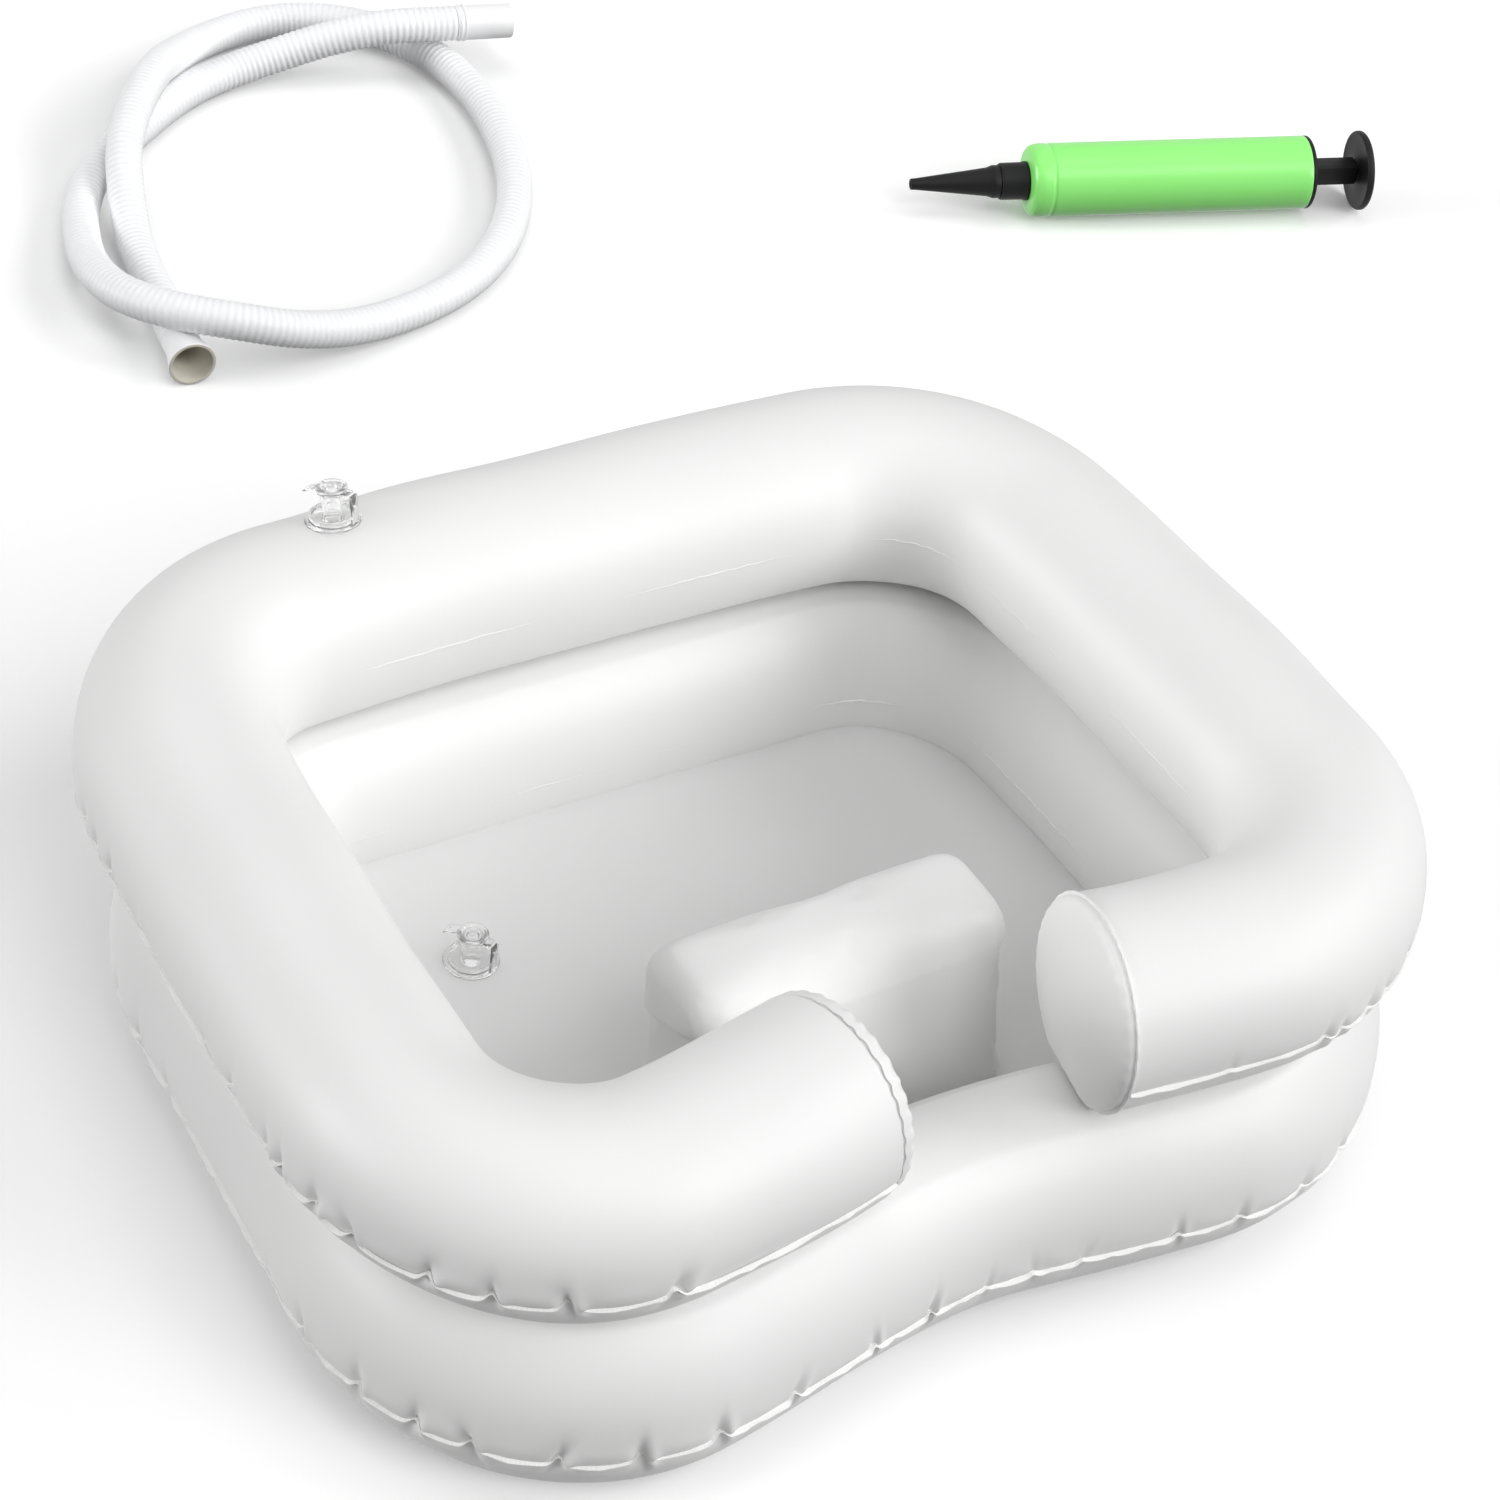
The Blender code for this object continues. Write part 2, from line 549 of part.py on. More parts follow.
def add_drain(root):
    """The valve in the floor and, under it, the spigot that takes the hose's flared end."""
    add_valve(root, "drain_valve", (DRAIN_X, DRAIN_Y, FLOOR_TOP + GAP), Vector((0, 0, 1)))
    top = FLOOR_TOP - FLOOR_THICKNESS - GAP
    profile = [
        (SPIGOT_BORE_R, -SPIGOT_LENGTH), (SPIGOT_R - SPIGOT_LEAD_DEPTH, -SPIGOT_LENGTH),
        (SPIGOT_R, SPIGOT_LEAD - SPIGOT_LENGTH), (SPIGOT_R, -VALVE_FLANGE_T),
        (VALVE_FLANGE_R, -VALVE_FLANGE_T), (VALVE_FLANGE_R, 0), (SPIGOT_BORE_R, 0),
    ]
    mesh = turned_mesh("drain_nipple", profile, 20, (DRAIN_X, DRAIN_Y, top))
    add_object("drain_nipple", mesh, root, CLEAR_VINYL, 0.2)


def natural_spline(knots, values, where):
    """A natural cubic spline through values at knots, read at the places given."""
    h = np.diff(knots)
    size = len(knots)
    matrix = np.eye(size)
    right = np.zeros(size)
    for i in range(1, size - 1):
        matrix[i, i - 1:i + 2] = h[i - 1], 2 * (h[i - 1] + h[i]), h[i]
        right[i] = 6 * ((values[i + 1] - values[i]) / h[i] - (values[i] - values[i - 1]) / h[i - 1])
    bend = np.linalg.solve(matrix, right)
    i = np.clip(np.searchsorted(knots, where) - 1, 0, size - 2)
    a = (knots[i + 1] - where) / h[i]
    b = (where - knots[i]) / h[i]
    curve = a * values[i] + b * values[i + 1]
    return curve + ((a ** 3 - a) * bend[i] + (b ** 3 - b) * bend[i + 1]) * h[i] ** 2 / 6


def flare_rise(before_end):
    """The hose's last stretch rises so that its wider mouth clears the surface."""
    share = np.clip(1 - before_end / HOSE_FLARE_REACH, 0, 1)
    return (FLARED_CUFF_MOUTH_R - HOSE_R) * share ** 2 * (3 - 2 * share)


def hose_line():
    """The hose's centre line as points a millimetre apart, straight at both ends."""
    route = np.array(HOSE_ROUTE)
    knots = np.concatenate([[0], np.cumsum(np.hypot(*np.diff(route[:, :2], axis=0).T))])
    where = np.linspace(0, knots[-1], 1700)
    x = natural_spline(knots, route[:, 0], where)
    y = natural_spline(knots, route[:, 1], where)
    window = np.hanning(71)
    lift = np.interp(where, knots, route[:, 2])
    lift = np.pad(lift, len(window) // 2, mode="reflect", reflect_type="odd")
    lift = np.convolve(lift, window / window.sum(), mode="valid")
    z = HOSE_R + HOSE_CLEAR + HOSE_OVER * lift + flare_rise(where[-1] - where)
    line = np.stack([x, y, z], axis=1)
    ends = []
    for end, inner in ((line[0], line[5]), (line[-1], line[-6])):
        ends.append(end + (end - inner) / np.linalg.norm(end - inner) * 2 * HOSE_R)
    line = np.vstack([ends[0], line, ends[1]])
    along = np.concatenate([[0], np.cumsum(np.linalg.norm(np.diff(line, axis=0), axis=1))])
    even = np.linspace(0, along[-1], int(along[-1] / LINE_STEP) + 1)
    return np.stack([np.interp(even, along, line[:, k]) for k in range(3)], axis=1)


def least_gap(line):
    """The least clear space between stretches of the hose that are not neighbours."""
    points = line[::2]
    apart = int(6 * HOSE_R / (2 * LINE_STEP))
    least = min(np.linalg.norm(points[i + apart:] - points[i], axis=1).min()
                for i in range(len(points) - apart))
    return least - 2 * HOSE_R


def tightest_bend(line):
    """The least bend radius, measured on points fifteen millimetres apart."""
    step = 15
    a = line[step:-step] - line[:-2 * step]
    b = line[2 * step:] - line[step:-step]
    size = np.linalg.norm(a, axis=1)
    turn = np.arccos(np.clip((a * b).sum(1) / size / np.linalg.norm(b, axis=1), -1, 1))
    return (size / np.maximum(turn, 1e-6)).min()


def tube_mesh(name, points, radii):
    """A round tube through points, made from a curve with filled caps."""
    curve = bpy.data.curves.new(name, "CURVE")
    curve.dimensions = "3D"
    curve.bevel_depth = 1.0
    curve.bevel_resolution = 2
    curve.use_fill_caps = True
    spline = curve.splines.new("POLY")
    spline.points.add(len(points) - 1)
    for spot, position, radius in zip(spline.points, points, radii):
        spot.co = (*position, 1)
        spot.radius = radius
    guide = bpy.data.objects.new(name, curve)
    mesh = bpy.data.meshes.new_from_object(guide)
    bpy.data.objects.remove(guide)
    bm = bmesh.new()
    bm.from_mesh(mesh)
    bmesh.ops.remove_doubles(bm, verts=bm.verts, dist=1e-6)
    return finish_mesh(bm, name)


def read_even(line, start, stop, count):
    """Points at even steps between two lengths along a line of points a millimetre apart."""
    steps = np.arange(len(line)) * LINE_STEP
    where = np.linspace(start, stop, count)
    return np.stack([np.interp(where, steps, line[:, k]) for k in range(3)], axis=1)


def add_hose(root):
    """The ribbed hose with its bore, on its route, and its two cuffs."""
    hose = add_empty("hose", root)
    line = hose_line()
    length = (len(line) - 1) * LINE_STEP
    ribbed = read_even(line, 2 * HOSE_R, length - 2 * HOSE_R, 2 * HOSE_RIBS)
    points = np.vstack([line[:1], ribbed, line[-1:]])
    radii = [HOSE_GROOVE_R] + [HOSE_GROOVE_R, HOSE_R] * HOSE_RIBS + [HOSE_R]
    tube = add_object("drain_hose", tube_mesh("drain_hose", points, radii), hose, HOSE_WHITE, 0.45)
    bore = read_even(line, 0, length, HOSE_BORE_POINTS)
    first = bore[0] + (bore[0] - bore[1]) * 0.1
    last = bore[-1] + (bore[-1] - bore[-2]) * 0.1
    bore = np.vstack([first, bore[1:-1], last])
    cutter = tube_mesh("hose_bore", bore, [HOSE_BORE_R] * len(bore))
    combine(tube, add_tool("hose_bore", cutter, hose), "DIFFERENCE")
    add_cuffs(hose, line)
    whole = length + PLAIN_CUFF_LENGTH + FLARED_CUFF_LENGTH
    print(f"hose {length:.3f} m, with cuffs {whole:.3f} m, least gap {1000 * least_gap(line):.2f} mm, "
          f"tightest bend {tightest_bend(line):.3f} m")


def add_cuffs(hose, line):
    """The plain outlet cuff and the flared inlet cuff, in line with the hose's two ends."""
    r, bore, end = PLAIN_CUFF_R, PLAIN_CUFF_R - CUFF_WALL, PLAIN_CUFF_LENGTH
    plain = [(bore, 0), (r, 0)]
    for middle in CUFF_BEADS:
        plain += [(r, middle - CUFF_BEAD_STEP), (r + CUFF_BEAD, middle), (r, middle + CUFF_BEAD_STEP)]
    plain += [(r, end), (bore, end)]
    r, bore, end = FLARED_CUFF_R, FLARED_CUFF_R - CUFF_WALL, FLARED_CUFF_LENGTH
    mouth = FLARED_CUFF_MOUTH_R
    flared = [(bore, 0), (r, 0), (r, end * 0.45), (mouth - CUFF_LIP, end * 0.90), (mouth, end),
              (mouth - CUFF_WALL, end), (bore, end * 0.50)]
    cuffs = (("hose_plain_cuff", plain, line[0], line[4], HOSE_WHITE),
             ("hose_flared_cuff", flared, line[-1], line[-5], CUFF_CREAM))
    for name, profile, end, inner, color in cuffs:
        away = Vector(end - inner).normalized()
        cuff = add_object(name, turned_mesh(name, profile), hose, color, 0.4)
        cuff.location = Vector(end) + away * GAP
        cuff.rotation_euler = away.to_track_quat("Z", "Y").to_euler()


def add_pump(root):
    """The hand pump lying on the surface; its own Z runs from the nozzle's tip to the handle."""
    pitch = asin((HANDLE_R - BARREL_R) / (HANDLE_END - SHOULDER_END))
    along = Vector((cos(PUMP_TURN) * cos(pitch), sin(PUMP_TURN) * cos(pitch), sin(pitch)))
    height = PUMP_CLEAR + BARREL_R * cos(pitch) - SHOULDER_END * sin(pitch)
    pump = add_empty("pump", root, (*PUMP_TIP, height))
    pump.rotation_euler = along.to_track_quat("Z", "Y").to_euler()
    add_barrel(pump)
    add_nozzle(pump)
    add_plunger(pump)


def add_barrel(pump):
    """Barrel with its rounded shoulder, and the cap that closes its rear."""
    wall = BARREL_R - BARREL_BORE_R
    profile = [(BARREL_OUTLET_R, BARREL_START)]
    profile += [(r, BARREL_START + behind) for r, behind in SHOULDER]
    profile += [
        (BARREL_R, SHOULDER_END), (BARREL_R, BARREL_END), (BARREL_BORE_R, BARREL_END),
        (BARREL_BORE_R, SHOULDER_END + wall), (BARREL_OUTLET_R, SHOULDER_END + wall),
    ]
    add_object("pump_barrel", turned_mesh("pump_barrel", profile), pump, PUMP_GREEN, 0.3)
    start = BARREL_END + GAP
    plug_r = BARREL_BORE_R - GAP
    profile = [
        (ROD_HOLE_R, start - END_CAP_PLUG), (plug_r, start - END_CAP_PLUG), (plug_r, start),
        (BARREL_R, start), (BARREL_R, END_CAP_END - END_CAP_EDGE), (BARREL_R - END_CAP_EDGE, END_CAP_END),
        (ROD_HOLE_R, END_CAP_END),
    ]
    add_object("pump_end_cap", turned_mesh("pump_end_cap", profile), pump, PUMP_BLACK, 0.45)


def add_nozzle(pump):
    """Long tapered nozzle, the collar that holds it on the barrel, and the outlet flap inside."""
    profile = [
        (NOZZLE_OUTLET_R, 0), (NOZZLE_TIP_R, 0), (NOZZLE_FOOT_R, NOZZLE_END - NOZZLE_FOOT),
        (NOZZLE_FOOT_R, NOZZLE_END), (NOZZLE_BORE_R, NOZZLE_END),
    ]
    add_object("pump_nozzle", turned_mesh("pump_nozzle", profile), pump, PUMP_BLACK, 0.5)
    start, end = NOZZLE_END + GAP, BARREL_START - GAP
    profile = [
        (NOZZLE_BORE_R, start), (COLLAR_R - COLLAR_EDGE[0], start), (COLLAR_R, start + COLLAR_EDGE[1]),
        (COLLAR_R, end), (COLLAR_CHAMBER_R, end), (COLLAR_CHAMBER_R, start + COLLAR_WALL),
        (NOZZLE_BORE_R, start + COLLAR_WALL),
    ]
    add_object("pump_nozzle_collar", turned_mesh("pump_nozzle_collar", profile), pump, PUMP_BLACK, 0.5)
    high = end - OUTLET_FLAP_BACK
    low = high - OUTLET_FLAP_T
    profile = [(0, low), (OUTLET_FLAP_R, low), (OUTLET_FLAP_R, high), (0, high)]
    add_object("pump_outlet_flap", turned_mesh("pump_outlet_flap", profile, 16), pump, SEAL_BLACK, 0.6)


def add_plunger(pump):
    """What slides in the barrel: piston and seal, cross-ribbed rod, round handle."""
    plunger = add_empty("pump_plunger", pump, (0, 0, PISTON_START))
    low, high = SEAL_GROOVE
    profile = [(0, 0), (PISTON_R, 0), (PISTON_R, low), (SEAL_GROOVE_R, low), (SEAL_GROOVE_R, high),
               (PISTON_R, high), (PISTON_R, PISTON_LENGTH), (0, PISTON_LENGTH)]
    add_object("pump_piston", turned_mesh("pump_piston", profile), plunger, PUMP_BLACK, 0.5)
    low, high = low + GAP, high - GAP
    inner, edge = SEAL_GROOVE_R + GAP, SEAL_R - SEAL_LIP
    profile = [(inner, low), (edge, low), (SEAL_R, (low + high) / 2), (edge, high), (inner, high)]
    add_object("pump_piston_seal", turned_mesh("pump_piston_seal", profile), plunger, SEAL_BLACK, 0.6)
    add_rod(plunger, PISTON_LENGTH + GAP, HANDLE_START - PISTON_START - GAP)
    start, end = HANDLE_START - PISTON_START, HANDLE_END - PISTON_START
    profile = [(0, start), (HANDLE_R - HANDLE_EDGE, start), (HANDLE_R, start + HANDLE_EDGE),
               (HANDLE_R, end - HANDLE_EDGE), (HANDLE_R - HANDLE_EDGE, end), (0, end)]
    add_object("pump_handle", turned_mesh("pump_handle", profile, 32), plunger, PUMP_BLACK, 0.45)


def add_rod(plunger, start, end):
    """A rod with four fins."""
    half = ROD_FIN_T / 2
    corner = [(ROD_R, -half), (ROD_R, half), (half, half)]
    outline = []
    for quarter in range(4):
        turn = Matrix.Rotation(quarter * pi / 2, 2)
        outline += [turn @ Vector(p) for p in corner]
    rows = [[Vector((p.x, p.y, z)) for p in outline] for z in (start, end)]
    add_object("pump_rod", swept_mesh("pump_rod", rows, closed=False), plunger, PUMP_BLACK, 0.45)


def stand_on_origin(root, loose_ends):
    """Move the kit so that the origin lies under the middle of all but the loose hose."""
    bpy.context.view_layer.update()
    depsgraph = bpy.context.evaluated_depsgraph_get()
    spots = []
    for obj in bpy.data.objects:
        if obj.type == "MESH" and not obj.hide_render and obj.name not in loose_ends:
            shown = obj.evaluated_get(depsgraph)
            spots += [tuple(obj.matrix_world @ v.co) for v in shown.data.vertices]
    low, high = np.min(spots, axis=0), np.max(spots, axis=0)
    root.location = (-(low[0] + high[0]) / 2, -(low[1] + high[1]) / 2, -low[2])
    bpy.context.view_layer.update()


def main():
    """Clear the scene and build the kit."""
    for obj in list(bpy.data.objects):
        bpy.data.objects.remove(obj, do_unlink=True)
    root = add_empty("shampoo_basin", None)
    upper, lower = upper_path(), lower_path()
    rows = add_ring(root, "upper", upper, upper_section(), UPPER_LEVEL, (UPPER_TUBE_X, UPPER_TUBE_Z), False)
    add_ring(root, "lower", lower, lower_section(), LOWER_LEVEL, (LOWER_TUBE_X, LOWER_TUBE_Z), True)
    add_arm_ends(root, upper)
    add_floor(root, lower)
    add_headrest(root)
    add_air_valve(root, rows)
    add_drain(root)
    add_hose(root)
    add_pump(root)
    stand_on_origin(root, ("drain_hose", "hose_plain_cuff", "hose_flared_cuff"))
    holders = ("shampoo_basin", "air_valve_seat", "air_valve_hinge", "drain_valve_hinge", "pump",
               "pump_plunger")
    for name in holders:
        place = bpy.data.objects[name].matrix_world
        print(name, "at", [round(c, 5) for c in place.translation],
              "Y", [round(c, 5) for c in place.col[1][:3]], "Z", [round(c, 5) for c in place.col[2][:3]])


main()
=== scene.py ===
# Inflatable shampoo basin with its drain hose and hand pump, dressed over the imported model.
# Metres, +Z up, the neck gap towards -Y.
import bpy
import bmesh
import json
import numpy as np
from math import atan2, cos, pi, radians, sin, sqrt
from mathutils import Matrix, Vector


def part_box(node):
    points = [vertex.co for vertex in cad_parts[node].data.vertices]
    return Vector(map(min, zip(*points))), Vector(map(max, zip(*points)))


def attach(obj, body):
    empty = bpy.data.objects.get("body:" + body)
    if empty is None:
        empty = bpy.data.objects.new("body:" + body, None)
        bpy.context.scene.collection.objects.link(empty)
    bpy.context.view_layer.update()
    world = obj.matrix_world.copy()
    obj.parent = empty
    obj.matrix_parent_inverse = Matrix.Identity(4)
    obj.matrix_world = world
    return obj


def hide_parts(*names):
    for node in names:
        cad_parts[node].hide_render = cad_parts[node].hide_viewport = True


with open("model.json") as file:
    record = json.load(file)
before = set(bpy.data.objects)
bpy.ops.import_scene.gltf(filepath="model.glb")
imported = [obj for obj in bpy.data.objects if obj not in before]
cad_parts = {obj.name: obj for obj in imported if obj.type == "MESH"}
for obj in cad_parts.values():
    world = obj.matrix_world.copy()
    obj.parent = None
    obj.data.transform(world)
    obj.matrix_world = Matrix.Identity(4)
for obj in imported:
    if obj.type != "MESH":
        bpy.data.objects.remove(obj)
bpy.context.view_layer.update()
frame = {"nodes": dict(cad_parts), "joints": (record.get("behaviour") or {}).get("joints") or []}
nodes = frame["nodes"]
joints = {joint["name"]: joint for joint in frame["joints"]}
print("frame loaded:", len(nodes), "nodes")

# The drain's spigot stands at a known place in the basin, so it tells where the basin's middle is
drainPlace = (-0.1246, 0.0644)
spigotLow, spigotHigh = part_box("drain_nipple")
basinMiddle = np.array([(spigotLow.x + spigotHigh.x) / 2 - drainPlace[0],
                        (spigotLow.y + spigotHigh.y) / 2 - drainPlace[1], 0.0])


# Camera

photoView = {
    "place": (-1.16796, -1.4811, 1.6209),
    "heading": 34.90,          # degrees from +Y towards +X
    "down": 41.64,             # degrees below the horizon
    "roll": 7.51,
    "focalPixels": 4021.84,    # on a picture 1500 pixels wide
    "pictureWidth": 1500,
    "sensor": 36.0,
}


def addCamera(settings):
    heading, down, roll = (radians(settings[key]) for key in ("heading", "down", "roll"))
    forward = Vector((sin(heading) * cos(down), cos(heading) * cos(down), -sin(down)))
    level = Vector((cos(heading), -sin(heading), 0))
    upright = level.cross(forward)
    right = level * cos(roll) + upright * sin(roll)
    up = right.cross(forward)
    lens = bpy.data.cameras.new("photoCamera")
    lens.sensor_width = settings["sensor"]
    lens.lens = settings["focalPixels"] * settings["sensor"] / settings["pictureWidth"]
    camera = bpy.data.objects.new("photoCamera", lens)
    bpy.context.scene.collection.objects.link(camera)
    turned = Matrix((right, up, -forward)).transposed().to_4x4()
    camera.matrix_world = Matrix.Translation(settings["place"]) @ turned
    bpy.context.scene.camera = camera


addCamera(photoView)
print("camera placed")


# Materials

def colour(code):
    channels = [int(code[i:i + 2], 16) / 255 for i in (1, 3, 5)]
    linear = [c / 12.92 if c <= 0.04045 else ((c + 0.055) / 1.055) ** 2.4 for c in channels]
    return (*linear, 1.0)


def feed(mat, node, sockets):
    for socket, value in sockets.items():
        if isinstance(value, bpy.types.NodeSocket):
            mat.node_tree.links.new(value, node.inputs[socket])
        else:
            node.inputs[socket].default_value = value


def addNode(mat, kind, sockets, **settings):
    node = mat.node_tree.nodes.new(kind)
    for name, value in settings.items():
        setattr(node, name, value)
    feed(mat, node, sockets)
    return node


def startMaterial(name, sockets):
    mat = bpy.data.materials.new(name)
    mat.use_nodes = True
    shader = mat.node_tree.nodes["Principled BSDF"]
    feed(mat, shader, sockets)
    return mat, shader


def anyOf(mat, *shares):
    total = shares[0]
    for share in shares[1:]:
        total = addNode(mat, "ShaderNodeMath", {0: total, 1: share}, operation="MAXIMUM").outputs[0]
    return total


def perMillimetre(size):       # a texture's scale, so that one of its features is this many millimetres long
    return 1000.0 / size


# Two close colours and a fine relief
def tintAndBump(mat, shader, tintBy, codes, bumpBy, depth, strength=0.5):
    tint = addNode(mat, "ShaderNodeMix", {0: tintBy, 6: colour(codes[0]), 7: colour(codes[1])},
                   data_type="RGBA")
    bump = addNode(mat, "ShaderNodeBump", {"Height": bumpBy, "Distance": depth, "Strength": strength})
    feed(mat, shader, {"Base Color": tint.outputs[2], "Normal": bump.outputs["Normal"]})


# Calendered PVC film, milky white and blown tight: satin, with a faint orange peel from the rollers
filmFinish = {
    "cloud": 120,              # patterns in millimetres, depths in metres, here and below
    "peel": 1.6,
    "peelDepth": 0.00005,
    "spread": 0.05,            # of the roughness, both ways
    # two close whites and the roughness
    "calenderedVinylFilm": ("#EFEFEE", "#EBEBEB", 0.46),
    # the floor's copy of the film is a greyer white: painted shade down in the bowl
    "shadedFloorVinylFilm": ("#E2E2E2", "#DEDEDE", 0.50),
}


def makeFilm(name, finish):
    *codes, roughness = finish[name]
    mat, shader = startMaterial(name, {"IOR": 1.53})
    spot = addNode(mat, "ShaderNodeTexCoord", {}).outputs["Object"]
    cloud = addNode(mat, "ShaderNodeTexNoise", {"Vector": spot, "Scale": perMillimetre(finish["cloud"]),
                                                "Detail": 2.0})
    rough = addNode(mat, "ShaderNodeMapRange", {"Value": cloud.outputs["Fac"],
                                                "To Min": roughness - finish["spread"],
                                                "To Max": roughness + finish["spread"]})
    peel = addNode(mat, "ShaderNodeTexNoise", {"Vector": spot, "Scale": perMillimetre(finish["peel"]),
                                               "Detail": 3.0})
    tintAndBump(mat, shader, cloud.outputs["Fac"], codes, peel.outputs["Fac"], finish["peelDepth"])
    feed(mat, shader, {"Roughness": rough.outputs["Result"]})
    return mat


# The same film where two layers are welded together: glossier, pressed with the weld bar's fine lines
weldFinish = {"codes": ("#F6F6F5", "#FAFAF9"), "roughness": 0.26, "lines": 0.8, "depth": 0.00004}


def makeWeld(finish):
    mat, shader = startMaterial("weldedFilm", {"IOR": 1.53, "Roughness": finish["roughness"]})
    along = addNode(mat, "ShaderNodeUVMap", {}, uv_map="alongSeam").outputs["UV"]
    lines = addNode(mat, "ShaderNodeTexWave", {
        "Vector": along, "Scale": perMillimetre(finish["lines"]) / (2 * pi), "Distortion": 0.4},
        bands_direction="X")
    tintAndBump(mat, shader, lines.outputs["Fac"], finish["codes"], lines.outputs["Fac"], finish["depth"])
    return mat


# Injection-moulded clear soft PVC: nearly water clear and smooth; light goes through it to what is behind
clearFinish = {"code": "#FDFDFD", "shadow": "#F4F4F4", "clear": 0.94, "roughness": (0.02, 0.07), "haze": 5,
               "depth": 0.0002}


def makeClearVinyl(finish):
    mat, shader = startMaterial("clearMouldedVinyl", {
        "Base Color": colour(finish["code"]), "IOR": 1.54, "Transmission Weight": finish["clear"]})
    spot = addNode(mat, "ShaderNodeTexCoord", {}).outputs["Object"]
    haze = addNode(mat, "ShaderNodeTexNoise", {"Vector": spot, "Scale": perMillimetre(finish["haze"]),
                                               "Detail": 2.0})
    low, high = finish["roughness"]
    rough = addNode(mat, "ShaderNodeMapRange", {"Value": haze.outputs["Fac"], "To Min": low, "To Max": high})
    bump = addNode(mat, "ShaderNodeBump", {"Height": haze.outputs["Fac"], "Distance": finish["depth"],
                                           "Strength": 0.3})
    feed(mat, shader, {"Roughness": rough.outputs["Result"], "Normal": bump.outputs["Normal"]})
    rays = addNode(mat, "ShaderNodeLightPath", {})
    clear = addNode(mat, "ShaderNodeBsdfTransparent", {"Color": colour(finish["shadow"])})
    share = anyOf(mat, rays.outputs["Is Shadow Ray"], rays.outputs["Is Diffuse Ray"])
    both = addNode(mat, "ShaderNodeMixShader", {0: share, 1: shader.outputs[0], 2: clear.outputs[0]})
    feed(mat, mat.node_tree.nodes["Material Output"], {"Surface": both.outputs[0]})
    return mat


# Blow-moulded polyethylene hose: cool white and slightly see-through; its grooves are painted a shade darker
# and bluer than the rib tops, as painted shade
# codes: the grooves' painted shade first, then the rib tops' white
hoseFinish = {"codes": ("#F6F8FB", "#FDFDFE"), "roughness": 0.42, "seeThrough": 0.12, "scuff": 2.5,
              "depth": 0.00006}


def makeHosePlastic(finish):
    mat, shader = startMaterial("ribbedPolyethylene", {
        "IOR": 1.51, "Roughness": finish["roughness"], "Subsurface Weight": finish["seeThrough"],
        "Subsurface Radius": (0.004, 0.004, 0.004), "Subsurface Scale": 1.0})
    spot = addNode(mat, "ShaderNodeTexCoord", {}).outputs["Object"]
    height = addNode(mat, "ShaderNodeAttribute", {}, attribute_name="ribHeight")
    scuff = addNode(mat, "ShaderNodeTexNoise", {"Vector": spot, "Scale": perMillimetre(finish["scuff"]),
                                                "Detail": 4.0})
    # ribHeight mixes the two whites: the darker one in the grooves is painted shade, the lighter one is on the
    # rib tops
    tintAndBump(mat, shader, height.outputs["Fac"], finish["codes"], scuff.outputs["Fac"], finish["depth"], 0.4)
    return mat


# Moulded plastic with a fine spark-eroded texture: even colour, faint flow clouds, satin to glossy
mouldedFinish = {
    # two close colours, roughness, the grain's size and depth, specular level
    "creamSoftVinyl": ("#DCD8CC", "#D4D0C2", 0.50, 0.8, 0.00005, 0.5),
    "greenPolystyrene": ("#9CFF86", "#96FE7E", 0.30, 1.2, 0.00002, 0.5),
    "blackPolypropylene": ("#0E0E0F", "#121213", 0.48, 0.6, 0.00006, 0.22),
    "blackNitrile": ("#161616", "#1D1D1D", 0.60, 0.4, 0.00004, 0.5),
}


def makeMoulded(name, finish):
    *codes, roughness, grainSize, grainDepth, specular = finish[name]
    mat, shader = startMaterial(name, {"IOR": 1.50, "Specular IOR Level": specular})
    spot = addNode(mat, "ShaderNodeTexCoord", {}).outputs["Object"]
    flow = addNode(mat, "ShaderNodeTexNoise", {"Vector": spot, "Scale": perMillimetre(35), "Detail": 3.0})
    grain = addNode(mat, "ShaderNodeTexNoise", {"Vector": spot, "Scale": perMillimetre(grainSize),
                                                "Detail": 2.0})
    rough = addNode(mat, "ShaderNodeMapRange", {"Value": grain.outputs["Fac"], "To Min": roughness - 0.06,
                                                "To Max": roughness + 0.08})
    tintAndBump(mat, shader, flow.outputs["Fac"], codes, grain.outputs["Fac"], grainDepth)
    feed(mat, shader, {"Roughness": rough.outputs["Result"]})
    return mat


film, floorFilm = (makeFilm(name, filmFinish) for name in ("calenderedVinylFilm", "shadedFloorVinylFilm"))
weld, clearVinyl, hosePlastic = makeWeld(weldFinish), makeClearVinyl(clearFinish), makeHosePlastic(hoseFinish)
cuffVinyl, barrelPlastic, blackPlastic, sealRubber = (
    makeMoulded(name, mouldedFinish) for name in mouldedFinish)
print("materials made:", len([m for m in bpy.data.materials if m.use_nodes]))


# Drain hose: a ribbed tube on its route over the surface, crossing itself twice

